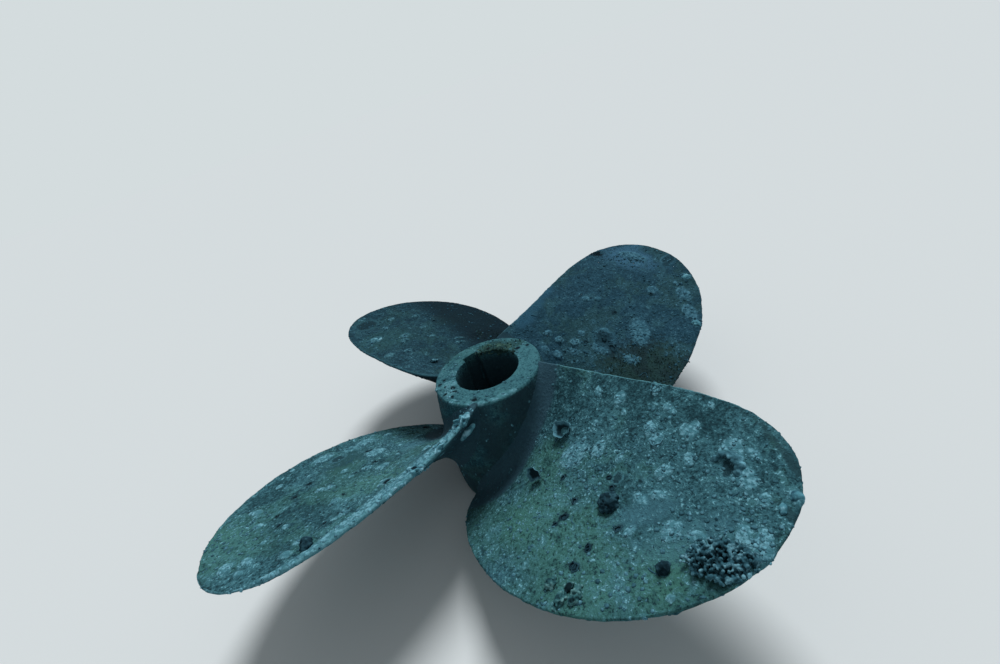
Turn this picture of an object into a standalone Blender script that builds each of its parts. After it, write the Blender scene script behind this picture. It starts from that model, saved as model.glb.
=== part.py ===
# Ship propeller, right-handed, with four fixed blades cast in one piece with their boss.
# The shaft axis is Z. The boss stands on its forward end, and its aft end is at the top.
# Lengths are in metres.

import math

import bmesh
import bpy

# Boss
BOSS_LENGTH = 0.48
BOSS_AFT_RADIUS = 0.213
BOSS_FORWARD_RADIUS = 0.262
BOSS_BULGE = 0.014  # swell of the side past a straight cone, halfway along
RIM_BEVEL = 0.005

# Tapered bore and its keyway
BORE_AFT_RADIUS = 0.1295
BORE_TAPER = 1 / 12  # change of the bore's diameter over its length
BORE_BEVEL = 0.003
KEYWAY_WIDTH = 0.07
KEYWAY_DEPTH = 0.022
KEYWAY_ANGLE = math.radians(189)

# Where the blades stand: a helix of constant pitch, leaning aft
BLADE_COUNT = 4
TIP_RADIUS = 1.1
PITCH = 1.37
RAKE = 0.182  # rise of the blade's reference line toward the tip
BLADE_SETBACK = 0.214  # from the aft face down to that line, at the boss

# Outline of a blade, rolled out flat
ROOT_WIDTH = 0.68
MIDDLE_WIDTH = 0.83
OUTER_WIDTH = 0.795  # width that the sides aim for at the tip, before it is rounded
TIP_SQUARENESS = 5.25
ROOT_OFFSET = -0.037  # of the middle of the width, toward the trailing edge
SKEW = 0.327

# Sections of a blade: flat pressure face, arched back
ROOT_THICKNESS = 0.085
EDGE_THICKNESS = 0.012
ROOT_FILLET = 0.055

SEAM = 0.0003  # between a blade and the boss

# Hard growth that stands well off the pressure faces of the first and the last blade. Each lump has the radius
# and the place along the helix of its middle, and then its length along the helix, its width and its height.
# It keeps its distance from the tip, or from the boss if it lies near the root.
FIRST_BLADE_GROWTH = {
    "branching_coral": (TIP_RADIUS - 0.07, 0.152, 0.138, 0.086, 0.044),
    "sponge": (TIP_RADIUS - 0.382, 0.063, 0.06, 0.056, 0.046),
    "small_sponge": (TIP_RADIUS - 0.147, 0.049, 0.032, 0.029, 0.024),
    "oyster": (BOSS_AFT_RADIUS + 0.174, 0.122, 0.07, 0.06, 0.024),
    "small_oyster": (BOSS_AFT_RADIUS + 0.173, -0.045, 0.048, 0.042, 0.024),
    "lime_ledge": (TIP_RADIUS - 0.185, 0.371, 0.08, 0.046, 0.022),
    "edge_lumps": (TIP_RADIUS - 0.24, -0.17, 0.11, 0.06, 0.02),
}
LAST_BLADE_GROWTH = {
    "edge_sponge": (TIP_RADIUS - 0.257, 0.455, 0.055, 0.04, 0.026),
}
GROWTH_SUNK = 0.004  # by which growth reaches into the face

# Lime rind on the pressure face, along the trailing edge of the last blade, thinner toward the tip
RIND_START = BOSS_AFT_RADIUS + 0.087
RIND_END = TIP_RADIUS - 0.24
RIND_INSET = 0.004  # from the blade's edge
RIND_WIDTHS = (0.042, 0.018)
RIND_HEIGHTS = (0.018, 0.007)
RIND_SECTION = ((0, 0.45), (0.2, 1), (0.6, 0.75), (1, 0.1))  # across it, as shares of width and height

# Fineness of the meshes
TURN_STEPS = 96
BOSS_STEPS = 12
SPAN_STEPS = 15
WIDTH_STEPS = 10
FILLET_SHARES = (-0.4, 0, 0.06, 0.18, 0.36, 0.62, 1)
NOSE_SHARES = (0, 0.15, 0.5, 1.5)
RIND_STEPS = 12
OVERRUN = 0.1  # by which a cutter passes the faces that it cuts


def boss_radius(height):
    share = min(max(height / BOSS_LENGTH, 0), 1)
    cone = BOSS_FORWARD_RADIUS + (BOSS_AFT_RADIUS - BOSS_FORWARD_RADIUS) * share
    return cone + 4 * BOSS_BULGE * share * (1 - share)


def bore_radius(height):
    return BORE_AFT_RADIUS + (BOSS_LENGTH - height) * BORE_TAPER / 2


def side_levels():
    """Heights of the rings that make the boss's outer side, without its bevels."""
    run = BOSS_LENGTH - 2 * RIM_BEVEL
    return [RIM_BEVEL + run * step / BOSS_STEPS for step in range(BOSS_STEPS + 1)]


def turned(name, profile, hollow):
    """A mesh turned about Z from (radius, height) points that run up its outer side."""
    shape = bmesh.new()
    rings = []
    for radius, height in profile:
        ring = []
        for step in range(TURN_STEPS):
            angle = 2 * math.pi * step / TURN_STEPS
            ring.append(shape.verts.new((radius * math.cos(angle), radius * math.sin(angle), height)))
        rings.append(ring)
    pairs = list(zip(rings, rings[1:]))
    if hollow:
        pairs.append((rings[-1], rings[0]))
    for lower, upper in pairs:
        for step in range(TURN_STEPS):
            after = (step + 1) % TURN_STEPS
            shape.faces.new((lower[step], lower[after], upper[after], upper[step]))
    if not hollow:
        shape.faces.new(reversed(rings[0]))
        shape.faces.new(rings[-1])
    return finished(name, shape)


def finished(name, shape):
    bmesh.ops.recalc_face_normals(shape, faces=shape.faces)
    mesh = bpy.data.meshes.new(name)
    shape.to_mesh(mesh)
    shape.free()
    mesh.shade_smooth()
    mesh.set_sharp_from_angle(angle=math.radians(30))
    return mesh


def placed(name, mesh, turn=0):
    piece = bpy.data.objects.new(name, mesh)
    piece.rotation_euler.z = turn
    bpy.context.scene.collection.objects.link(piece)
    return piece


def bronze(name, colour, roughness):
    material = bpy.data.materials.new(name)
    material.use_nodes = True
    shader = material.node_tree.nodes["Principled BSDF"]
    shader.inputs["Base Color"].default_value = (*colour, 1)
    shader.inputs["Roughness"].default_value = roughness
    shader.inputs["Metallic"].default_value = 0.2
    return material


def helper(name, mesh, turn=0):
    tool = placed(name, mesh, turn)
    tool.hide_render = True
    tool.display_type = "WIRE"
    return tool


def combine(piece, tool, operation):
    modifier = piece.modifiers.new(tool.name, "BOOLEAN")
    modifier.operation = operation
    modifier.solver = "EXACT"
    modifier.object = tool


def boss_mesh():
    aft_face = BOSS_LENGTH
    profile = [(boss_radius(0) - RIM_BEVEL, 0)]
    profile += [(boss_radius(level), level) for level in side_levels()]
    profile += [(boss_radius(aft_face) - RIM_BEVEL, aft_face)]
    profile += [(bore_radius(aft_face) + BORE_BEVEL, aft_face)]
    profile += [(bore_radius(aft_face - BORE_BEVEL), aft_face - BORE_BEVEL)]
    profile += [(bore_radius(BORE_BEVEL), BORE_BEVEL)]
    profile += [(bore_radius(0) + BORE_BEVEL, 0)]
    return turned("boss", profile, hollow=True)


def keyway_mesh():
    """A tapered bar whose outer face is the keyway's floor, at angle 0."""
    shape = bmesh.new()
    ends = []
    for height in (-OVERRUN, BOSS_LENGTH + OVERRUN):
        floor = bore_radius(height) + KEYWAY_DEPTH
        half = KEYWAY_WIDTH / 2
        corners = ((0, -half), (floor, -half), (floor, half), (0, half))
        ends.append([shape.verts.new((x, y, height)) for x, y in corners])
    lower, upper = ends
    shape.faces.new(reversed(lower))
    shape.faces.new(upper)
    for side in range(4):
        after = (side + 1) % 4
        shape.faces.new((lower[side], lower[after], upper[after], upper[side]))
    return finished("keyway_cutter", shape)


def seat_mesh():
    """The boss's outside, larger by the seam, that trims the blades' roots."""
    levels = [-OVERRUN, *side_levels(), BOSS_LENGTH + OVERRUN]
    profile = [(boss_radius(level) + SEAM, level) for level in levels]
    return turned("seat_cutter", profile, hollow=False)


def half_width(share):
    """Half of the blade's width, at a share of the span from the boss to the tip."""
    rise = 4 * MIDDLE_WIDTH - 3 * ROOT_WIDTH - OUTER_WIDTH
    fall = 2 * (ROOT_WIDTH + OUTER_WIDTH - 2 * MIDDLE_WIDTH)
    width = ROOT_WIDTH + rise * share + fall * share**2
    return width / 2 * math.sqrt(max(1 - max(share, 0) ** TIP_SQUARENESS, 0))


def blade_point(radius, along, depth):
    """The place at this radius, this far along the helix and this deep behind the pressure face."""
    slope = math.atan(PITCH / (2 * math.pi * radius))
    angle = (along * math.cos(slope) + depth * math.sin(slope)) / radius
    height = BOSS_LENGTH - BLADE_SETBACK + RAKE * (radius - BOSS_AFT_RADIUS)
    height += along * math.sin(slope) - depth * math.cos(slope)
    return radius * math.cos(angle), radius * math.sin(angle), height


def span_share(radius):
    return (radius - BOSS_AFT_RADIUS) / (TIP_RADIUS - BOSS_AFT_RADIUS)


def column_places():
    """For each line of points from leading to trailing edge: its side, edge distance and share."""
    edges = [(distance * EDGE_THICKNESS, fallback) for distance, fallback in zip(NOSE_SHARES, (0, 0.1, 0.25, 0.5))]
    places = [(-1, distance, fallback) for distance, fallback in edges]
    places += [(2 * step / WIDTH_STEPS - 1, None, None) for step in range(1, WIDTH_STEPS)]
    places += [(1, distance, fallback) for distance, fallback in reversed(edges)]
    return places


def across(radius, place):
    """How far along the helix a column lies at this radius, and its share of the half width."""
    share = span_share(radius)
    half = half_width(share)
    side, distance, fallback = place
    inset = min(NOSE_SHARES[-1] * EDGE_THICKNESS, half / 2)
    if distance is None:
        offset = side * (half - inset)
    else:
        offset = side * (half - min(distance, fallback * half))
    middle = ROOT_OFFSET + SKEW * max(share, 0) ** 2
    return middle + offset, offset / half if half else 0


def radius_off_boss(place, clearance):
    """The radius at which a column stands this far off the boss's side."""
    radius = BOSS_AFT_RADIUS
    for _ in range(8):
        along, _share = across(radius, place)
        radius = boss_radius(blade_point(radius, along, 0)[2]) + clearance
    return radius


def depths(radius, clearance, place):
    """Depths of the pressure face and of the back behind the flat face, rounded at the edges."""
    along, share = across(radius, place)
    half = half_width(span_share(radius))
    thickest = EDGE_THICKNESS + (ROOT_THICKNESS - EDGE_THICKNESS) * (1 - span_share(radius))
    thickness = EDGE_THICKNESS + (thickest - EDGE_THICKNESS) * (1 - share**2)
    nose = EDGE_THICKNESS / 2
    to_edge = min(half * (1 - abs(share)), TIP_RADIUS - radius)
    cut_back = nose - math.sqrt(max(nose**2 - max(nose - to_edge, 0) ** 2, 0))
    rest = min(max(1 - clearance / ROOT_FILLET, 0), 1)
    flare = ROOT_FILLET * (1 - math.sqrt(1 - rest**2)) * (1 - share**4)
    return along, cut_back - flare, thickness - cut_back + flare


def blade_mesh():
    shape = bmesh.new()
    places = column_places()
    span_steps = [math.sin(math.pi / 2 * step / SPAN_STEPS) for step in range(1, SPAN_STEPS)]
    rows = []
    for fillet_share in FILLET_SHARES:
        clearance = fillet_share * ROOT_FILLET
        rows.append([(radius_off_boss(place, clearance), clearance, place) for place in places])
    fillet_end = [radius for radius, _, _ in rows[-1]]
    tip_gap = NOSE_SHARES[1] * EDGE_THICKNESS
    for step in [*span_steps, None]:
        row = []
        for start, place in zip(fillet_end, places):
            radius = TIP_RADIUS - tip_gap if step is None else start + (TIP_RADIUS - start) * step
            row.append((radius, ROOT_FILLET, place))
        rows.append(row)
    faces, backs = [], []
    for row in rows:
        front, behind = [], []
        for radius, clearance, place in row:
            along, face_depth, back_depth = depths(radius, clearance, place)
            front.append(shape.verts.new(blade_point(radius, along, face_depth)))
            behind.append(shape.verts.new(blade_point(radius, along, back_depth)))
        # The face and the back share the two edge columns.
        for edge in (0, -1):
            shape.verts.remove(behind[edge])
            behind[edge] = front[edge]
        faces.append(front)
        backs.append(behind)
    tip = shape.verts.new(blade_point(TIP_RADIUS, ROOT_OFFSET + SKEW, EDGE_THICKNESS / 2))
    for side in (faces, backs):
        for inner, outer in zip(side, side[1:]):
            for column in range(len(places) - 1):
                shape.faces.new((inner[column], inner[column + 1], outer[column + 1], outer[column]))
        for column in range(len(places) - 1):
            shape.faces.new((side[-1][column], side[-1][column + 1], tip))
    shape.faces.new(faces[0] + backs[0][-2:0:-1])
    bmesh.ops.triangulate(shape, faces=shape.faces)
    return finished("blade", shape)


def lump_mesh(name, radius, along, length, width, height):
    """A low dome on the pressure face, whose underside lies just below the face."""
    shape = bmesh.new()
    bmesh.ops.create_icosphere(shape, subdivisions=2, radius=1)
    for vert in shape.verts:
        outward, ahead, off = vert.co
        depth = -off * (height if off > 0 else GROWTH_SUNK)
        vert.co = blade_point(radius + outward * width / 2, along + ahead * length / 2, depth)
    return finished(name, shape)


def rind_mesh():
    """A tapering ridge along the trailing edge, on the pressure face."""
    shape = bmesh.new()
    rows = []
    for step in range(RIND_STEPS + 1):
        progress = step / RIND_STEPS
        radius = RIND_START + (RIND_END - RIND_START) * progress
        width = RIND_WIDTHS[0] + (RIND_WIDTHS[1] - RIND_WIDTHS[0]) * progress
        height = RIND_HEIGHTS[0] + (RIND_HEIGHTS[1] - RIND_HEIGHTS[0]) * progress
        share = span_share(radius)
        edge = ROOT_OFFSET + SKEW * share**2 + half_width(share) - RIND_INSET
        section = [(edge, GROWTH_SUNK)]
        section += [(edge - width * inward, -height * rise) for inward, rise in RIND_SECTION]
        section += [(edge - width, GROWTH_SUNK)]
        rows.append([shape.verts.new(blade_point(radius, along, depth)) for along, depth in section])
    for inner, outer in zip(rows, rows[1:]):
        for corner in range(len(inner)):
            after = (corner + 1) % len(inner)
            shape.faces.new((inner[corner], inner[after], outer[after], outer[corner]))
    shape.faces.new(reversed(rows[0]))
    shape.faces.new(rows[-1])
    bmesh.ops.triangulate(shape, faces=shape.faces)
    return finished("lime_rind", shape)


def add_growth(blade, growth):
    for name, size in growth.items():
        combine(blade, helper(name, lump_mesh(name, *size), blade.rotation_euler.z), "UNION")


def main():
    for old in list(bpy.data.objects):
        bpy.data.objects.remove(old)
    boss = placed("boss", boss_mesh())
    boss.data.materials.append(bronze("boss_bronze", (0.16, 0.21, 0.2), 0.6))
    combine(boss, helper("keyway_cutter", keyway_mesh(), KEYWAY_ANGLE), "DIFFERENCE")
    seat = helper("seat_cutter", seat_mesh())
    blade = blade_mesh()
    blade.materials.append(bronze("blade_bronze", (0.11, 0.16, 0.15), 0.7))
    turns = [2 * math.pi * number / BLADE_COUNT for number in range(BLADE_COUNT)]
    blades = [placed(f"blade_{number + 1}", blade, turn) for number, turn in enumerate(turns)]
    first, last = blades[0], blades[-1]
    add_growth(first, FIRST_BLADE_GROWTH)
    add_growth(last, LAST_BLADE_GROWTH)
    combine(last, helper("lime_rind", rind_mesh(), last.rotation_euler.z), "UNION")
    for piece in blades:
        combine(piece, seat, "DIFFERENCE")


main()
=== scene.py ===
import math
from functools import partial

import bmesh
import bpy
import numpy as np
from mathutils import Matrix, Vector


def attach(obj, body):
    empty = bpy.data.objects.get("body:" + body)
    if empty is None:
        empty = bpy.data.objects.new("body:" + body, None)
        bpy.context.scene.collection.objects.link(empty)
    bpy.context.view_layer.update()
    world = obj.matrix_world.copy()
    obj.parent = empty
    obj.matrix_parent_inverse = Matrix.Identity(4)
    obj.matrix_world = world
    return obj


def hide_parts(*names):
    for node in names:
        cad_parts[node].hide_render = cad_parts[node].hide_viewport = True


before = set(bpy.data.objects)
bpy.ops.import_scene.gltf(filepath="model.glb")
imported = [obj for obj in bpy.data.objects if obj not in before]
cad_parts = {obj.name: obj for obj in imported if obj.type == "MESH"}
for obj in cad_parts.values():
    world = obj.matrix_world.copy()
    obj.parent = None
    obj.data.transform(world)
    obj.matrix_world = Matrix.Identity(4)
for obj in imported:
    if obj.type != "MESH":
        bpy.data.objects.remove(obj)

scene = bpy.context.scene
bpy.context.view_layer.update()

# The casting's sizes in metres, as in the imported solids. Blade 1 lies along +X, and each next blade a quarter
# turn further on.
casting = {
    "bossLength": 0.48, "aftRadius": 0.213, "forwardRadius": 0.262, "bulge": 0.014, "rimRound": 0.005,
    "boreAft": 0.1295, "boreTaper": 1 / 12, "boreRound": 0.003,
    "keyWidth": 0.07, "keyDepth": 0.022, "keyAngle": 189,
    "tipRadius": 1.1, "pitch": 1.37, "rake": 0.182, "setback": 0.214, "rootOffset": -0.037, "skew": 0.327,
    "rootWidth": 0.68, "middleWidth": 0.83, "outerWidth": 0.795, "squareness": 5.25,
    "rootThickness": 0.085, "edgeThickness": 0.012, "fillet": 0.055,
}


def linear(code):
    parts = [int(code[i:i + 2], 16) / 255 for i in (1, 3, 5)]
    return (*[p / 12.92 if p <= 0.04045 else ((p + 0.055) / 1.055) ** 2.4 for p in parts], 1)


# The camera, where the photograph was taken from

view = {
    "place": (1.4695, -0.2588, 1.4524), "lens": 16.176, "sensor": 36, "clip": (0.02, 400),
    "right": (0.37827, 0.88122, -0.28346), "up": (-0.37248, 0.42523, 0.82489),
    "ahead": (-0.84745, 0.20645, -0.48909),
}


def placeCamera():
    data = bpy.data.cameras.new("camera")
    data.lens = view["lens"]
    data.sensor_width = view["sensor"]
    data.clip_start, data.clip_end = view["clip"]
    camera = bpy.data.objects.new("camera", data)
    across, up, back = Vector(view["right"]), Vector(view["up"]), -Vector(view["ahead"])
    turn = Matrix((across, up, back)).transposed().to_4x4()
    camera.matrix_world = Matrix.Translation(view["place"]) @ turn
    scene.collection.objects.link(camera)
    scene.camera = camera


placeCamera()
print("camera placed")


# Adds a node with its settings and what is plugged into it, and gives back one of its outputs, or the whole
# node where out is None

def addNode(tree, kind, plugs=None, out=0, **settings):
    node = tree.nodes.new(kind)
    for name, value in settings.items():
        setattr(node, name, value)
    for name, value in (plugs or {}).items():
        if isinstance(value, bpy.types.NodeSocket):
            tree.links.new(value, node.inputs[name])
        else:
            node.inputs[name].default_value = value
    return node if out is None else node.outputs[out]


eased = {"interpolation_type": "SMOOTHSTEP"}  # for a mask that fades softly in and out


# Light and floor: a pale studio floor, and one broad soft lamp high up, on the side that lies uphill in the
# photograph

studio = {
    "floorColour": "#DCE2E4", "floorRadius": 300, "floorSides": 96, "floorDrop": 0.001,
    "airColour": "#E3E8EA", "fill": 0.34, "backdrop": "#D4DCDE",
    "sunStrength": 2.5, "sunSpread": 22, "sunFrom": (-0.40, 0.38, 0.83),
}


def buildStudio():
    world = bpy.data.worlds.new("studioAir")
    world.use_nodes = True
    add = partial(addNode, world.node_tree)
    world.node_tree.nodes.clear()
    fill = add("ShaderNodeBackground", {"Color": linear(studio["airColour"]), "Strength": studio["fill"]})
    seen = add("ShaderNodeBackground", {"Color": linear(studio["backdrop"]), "Strength": 1.0})
    both = add("ShaderNodeMixShader", {0: add("ShaderNodeLightPath", out="Is Camera Ray"), 1: fill, 2: seen})
    add("ShaderNodeOutputWorld", {"Surface": both}, out=None)
    scene.world = world
    sun = bpy.data.lights.new("softSun", "SUN")
    sun.energy = studio["sunStrength"]
    sun.angle = math.radians(studio["sunSpread"])
    lamp = bpy.data.objects.new("softSun", sun)
    lamp.rotation_mode = "QUATERNION"
    lamp.rotation_quaternion = Vector(studio["sunFrom"]).to_track_quat("Z", "Y")
    scene.collection.objects.link(lamp)
    # Matt wall paint: flat, with almost no shine
    finish = bpy.data.materials.new("matPaint")
    finish.use_nodes = True
    shader = finish.node_tree.nodes["Principled BSDF"]
    shader.inputs["Base Color"].default_value = linear(studio["floorColour"])
    shader.inputs["Roughness"].default_value = 1.0
    shader.inputs["Specular IOR Level"].default_value = 0.0
    disc = bmesh.new()
    bmesh.ops.create_circle(disc, cap_ends=True, segments=studio["floorSides"], radius=studio["floorRadius"])
    mesh = bpy.data.meshes.new("floor")
    disc.to_mesh(mesh)
    disc.free()
    mesh.materials.append(finish)
    floor = bpy.data.objects.new("floor", mesh)
    floor.location.z = -studio["floorDrop"]
    scene.collection.objects.link(floor)
    scene.view_settings.view_transform = "Standard"


buildStudio()
print("studio built")


# The casting's shape, worked out for many points at once

def bossRadius(height):
    share = np.clip(height / casting["bossLength"], 0, 1)
    cone = casting["forwardRadius"] + (casting["aftRadius"] - casting["forwardRadius"]) * share
    return cone + 4 * casting["bulge"] * share * (1 - share)


def boreRadius(height):
    return casting["boreAft"] + (casting["bossLength"] - height) * casting["boreTaper"] / 2


def spanShare(radius):
    return (radius - casting["aftRadius"]) / (casting["tipRadius"] - casting["aftRadius"])


def halfWidth(radius):
    share = np.clip(spanShare(radius), 0, 1)
    root, middle, outer = casting["rootWidth"], casting["middleWidth"], casting["outerWidth"]
    width = root + (4 * middle - 3 * root - outer) * share + 2 * (root + outer - 2 * middle) * share**2
    return width / 2 * np.sqrt(np.clip(1 - share ** casting["squareness"], 0, 1))


def widthMiddle(radius):
    return casting["rootOffset"] + casting["skew"] * np.clip(spanShare(radius), 0, None) ** 2


def thickness(radius, share):
    # share runs from -1 to 1 across the blade
    edge = casting["edgeThickness"]
    thickest = edge + (casting["rootThickness"] - edge) * (1 - spanShare(radius))
    return edge + (thickest - edge) * (1 - share**2)


def bladePoint(radius, along, depth, number):
    slope = np.arctan(casting["pitch"] / (2 * np.pi * radius))
    angle = (along * np.cos(slope) + depth * np.sin(slope)) / radius + (number - 1) * np.pi / 2
    height = casting["bossLength"] - casting["setback"] + casting["rake"] * (radius - casting["aftRadius"])
    height = height + along * np.sin(slope) - depth * np.cos(slope)
    return np.stack([radius * np.cos(angle), radius * np.sin(angle), height], -1)


def onBlade(number, radius, along, lift=0.0, back=False):
    # A place on a blade and its directions: towards the tip, along the helix and out of the metal
    share = (along - widthMiddle(radius)) / halfWidth(radius)
    depth = float(thickness(radius, share)) if back else 0.0
    step = 0.001
    radii = np.array([radius, radius + step, radius])
    alongs = np.array([along, along, along + step])
    shares = (alongs - widthMiddle(radii)) / halfWidth(radii)
    depths = thickness(radii, shares) if back else np.zeros(3)
    here, outer, ahead = [Vector(p) for p in bladePoint(radii, alongs, depths, number)]
    out = (outer - here).cross(ahead - here).normalized()
    out = -out if back else out
    tipward = (outer - here).normalized()
    tipward = (tipward - out * tipward.dot(out)).normalized()
    return here + out * lift, Matrix((tipward, out.cross(tipward), out)).transposed()


# A smooth random field between -1 and 1, with lumps about as wide as size

def drift(points, size, seed):
    cell = points / size + seed * 17.31
    low = np.floor(cell).astype(np.int64)
    share = cell - low
    share = share * share * (3 - 2 * share)
    total = np.zeros(points.shape[:-1])
    for corner in np.ndindex(2, 2, 2):
        x, y, z = np.moveaxis(low + corner, -1, 0)
        mixed = (x * 73856093) ^ (y * 19349663) ^ (z * 83492791) ^ (seed * 7919)
        mixed = (mixed * 1103515245 + 12345) & 0x7FFFFFFF
        mixed = ((mixed >> 9) * 69069 + 1) & 0xFFFFF
        weight = np.prod(np.where(np.array(corner) == 1, share, 1 - share), axis=-1)
        total += weight * (mixed / 0x7FFFF - 1)
    return total


def patches(points, plain):
    # Broad patches with smaller ones in them, about a plain level
    return plain + 0.35 * drift(points, 0.11, 5) + 0.2 * drift(points, 0.035, 6)


def meshOf(name, points, faces):
    mesh = bpy.data.meshes.new(name)
    mesh.from_pydata(np.asarray(points).tolist(), [], faces)
    shape = bmesh.new()
    shape.from_mesh(mesh)
    bmesh.ops.recalc_face_normals(shape, faces=shape.faces)
    shape.to_mesh(mesh)
    shape.free()
    mesh.shade_smooth()
    return mesh


def addPiece(name, mesh):
    piece = bpy.data.objects.new(name, mesh)
    scene.collection.objects.link(piece)
    return piece


def store(mesh, name, values):
    mesh.attributes.new(name, "FLOAT", "POINT").data.foreach_set("value", np.asarray(values, np.float32))


def pointsOf(mesh):
    places = np.empty(3 * len(mesh.vertices), np.float32)
    mesh.vertices.foreach_get("co", places)
    return places.reshape(-1, 3).astype(float)


def normalsOf(mesh):
    normals = np.empty(3 * len(mesh.vertices), np.float32)
    mesh.vertex_normals.foreach_get("vector", normals)
    return normals.reshape(-1, 3).astype(float)


def smoothStep(value, low, high):
    share = np.clip((value - low) / (high - low), 0, 1)
    return share * share * (3 - 2 * share)


# How far points on a blade lie from the nearest mark: 1 at its edge, and 3 where there is none near

def near(marks, radius, along):
    nearest = np.full(radius.shape, 3.0)
    for at, offset, length, width, turn in marks:
        a, b = math.cos(math.radians(turn)), math.sin(math.radians(turn))
        x = (along - offset) * a + (radius - at) * b
        y = (radius - at) * a - (along - offset) * b
        nearest = np.minimum(nearest, np.hypot(x / (length / 2), y / (width / 2)))
    return nearest


kinds = ("colony", "hole", "scar", "turf", "silt", "strip")
limeKinds = ("thick", "thin")  # where the lime lies thicker or thinner

# What the photograph shows on each blade's pressure face. A mark is (radius, along, length, width, turn): its
# place on the blade and its size, in millimetres, and how its long side is turned, in degrees.
bladeMarks = {
    1: {
        "colony": [
            (464, 312, 36, 30, 0), (547, 333, 60, 36, 20), (578, 300, 22, 18, 0), (683, 305, 44, 36, 0),
            (719, 283, 44, 36, 0), (724, 300, 30, 26, 0), (803, 374, 66, 36, 10), (780, 362, 40, 28, 0),
            (831, 298, 40, 34, 0), (718, 393, 30, 46, 0), (499, 213, 26, 22, 0), (918, 376, 96, 60, 0),
            (980, 340, 64, 50, -30), (966, 408, 26, 44, 0), (787, 228, 52, 34, 30), (826, 475, 26, 22, 0),
            (1081, 370, 34, 34, 0), (490, 90, 120, 70, 20), (903, 124, 60, 52, 0), (1030, 322, 36, 30, 0),
            (1008, 18, 22, 18, 0), (1080, 228, 86, 42, -30), (655, 430, 40, 26, 0), (560, 155, 60, 40, 0),
            (645, 175, 38, 24, 0), (816, 169, 52, 26, 60), (823, 48, 36, 24, 0), (955, 152, 52, 30, 60),
            (1034, 228, 50, 34, -40), (780, 128, 30, 50, 0), (818, -67, 14, 12, 0),
        ],
        "hole": [
            (519, 13, 18, 16, 0), (623, -5, 22, 18, 0), (642, -59, 29, 22, 0), (687, 98, 18, 17, 0),
            (780, -59, 21, 18, 0), (804, -114, 25, 20, 0), (793, 34, 23, 18, 0), (655, 115, 16, 14, 0),
            (700, 85, 20, 16, 0), (775, -55, 18, 16, 0), (795, -116, 22, 20, 0), (645, -93, 18, 16, 0),
        ],
        # The second scar is the hollow under the lime ledge: painted shade
        "scar": [(680, 131, 38, 30, 0), (927, 338, 50, 36, 0)],
        "turf": [(1010, 462, 200, 24, -58), (1086, 330, 110, 20, -80), (900, 530, 130, 22, -20)],
        "silt": [
            (950, 30, 220, 160, 0), (721, -83, 300, 240, 0), (850, -120, 300, 240, 0),
            (560, -120, 300, 260, 0), (420, 0, 200, 200, 0),
        ],
        "strip": [(950, 140, 240, 100, 30), (820, 120, 200, 80, 30)],
        "thick": [(560, 100, 300, 300, 0), (740, 250, 300, 240, 0), (940, 250, 300, 280, 0)],
        "thin": [(850, 500, 420, 160, 30), (340, 250, 240, 100, 0), (560, 420, 200, 120, 0)],
    },
    2: {
        "colony": [
            (649, 254, 38, 30, 0), (680, 217, 30, 24, 0), (936, -31, 88, 50, 0), (1015, 36, 55, 40, 0),
            (960, 45, 22, 18, 0), (892, -128, 100, 50, 0), (878, -197, 45, 35, 0), (676, -58, 138, 80, 20),
            (485, 108, 36, 32, 0), (430, 83, 53, 40, 0), (392, 139, 36, 32, 0), (387, 198, 36, 34, 0),
            (867, 87, 55, 45, 0), (1000, 330, 160, 50, 0), (1050, 190, 80, 45, 60),
            (580, -142, 90, 40, -40), (311, 134, 44, 30, 0), (336, 82, 44, 34, 0), (399, 51, 44, 34, 0),
            (500, -10, 90, 50, -30), (560, 45, 50, 40, 0),
        ],
        "hole": [
            (948, 487, 56, 34, 20), (845, 70, 16, 14, 0), (470, 60, 18, 16, 0), (540, -40, 40, 30, 0),
            (665, 100, 16, 16, 0),
        ],
        "scar": [(1056, 183, 96, 55, 60), (538, 19, 105, 80, 0)],
        "turf": [(625, -240, 460, 230, -40)],
        "silt": [(1030, 400, 200, 80, -60), (982, 340, 300, 140, 0)],
        "strip": [(398, 335, 170, 80, 60), (500, 385, 170, 75, 60), (598, 427, 140, 60, 60)],
        "thick": [(560, 0, 340, 300, 0), (930, 0, 300, 200, 0), (980, 330, 300, 140, 0)],
        "thin": [(480, 280, 300, 300, 0), (640, -200, 360, 200, 20)],
    },
    3: {
        "colony": [
            (1043, 409, 44, 38, 0), (735, 233, 60, 42, 0), (690, 248, 50, 34, 0), (868, 313, 40, 32, 0),
            (772, 118, 36, 28, 0), (608, -33, 60, 18, 0), (572, -20, 60, 18, 0), (790, 396, 95, 50, 0),
            (596, 370, 60, 42, 0), (586, 265, 44, 34, 0), (667, 96, 34, 28, 0), (901, 120, 45, 30, 0),
            (942, 255, 45, 30, 0), (710, 415, 26, 22, 0),
        ],
        "hole": [(425, 179, 40, 26, 0), (809, 42, 22, 20, 0)],
        "scar": [(967, 400, 130, 90, 20)],
        "turf": [(620, -200, 260, 100, 0)],
        "silt": [(750, 330, 300, 200, 0), (800, 400, 200, 120, 0)],
        "strip": [],
        "thick": [(980, 300, 300, 180, 0)],
        "thin": [(450, 100, 300, 200, 0)],
    },
}

# From here on in metres
for marks in bladeMarks.values():
    for kind, rows in marks.items():
        marks[kind] = [(*np.array(row[:4]) / 1000, row[4]) for row in rows]

# How many marks of a kind lie on a face that the photograph doesn't show, and their smallest and largest size
strewn = {
    "colony": (36, 0.020, 0.080), "hole": (12, 0.014, 0.030), "scar": (1, 0.035, 0.060),
    "turf": (1, 0.120, 0.200), "silt": (2, 0.200, 0.400), "strip": (1, 0.100, 0.200),
    "thick": (3, 0.200, 0.400), "thin": (3, 0.200, 0.400),
}
strewnBand = {"radius": (0.36, 1.06), "across": 0.9, "widths": (0.55, 0.95)}


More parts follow.
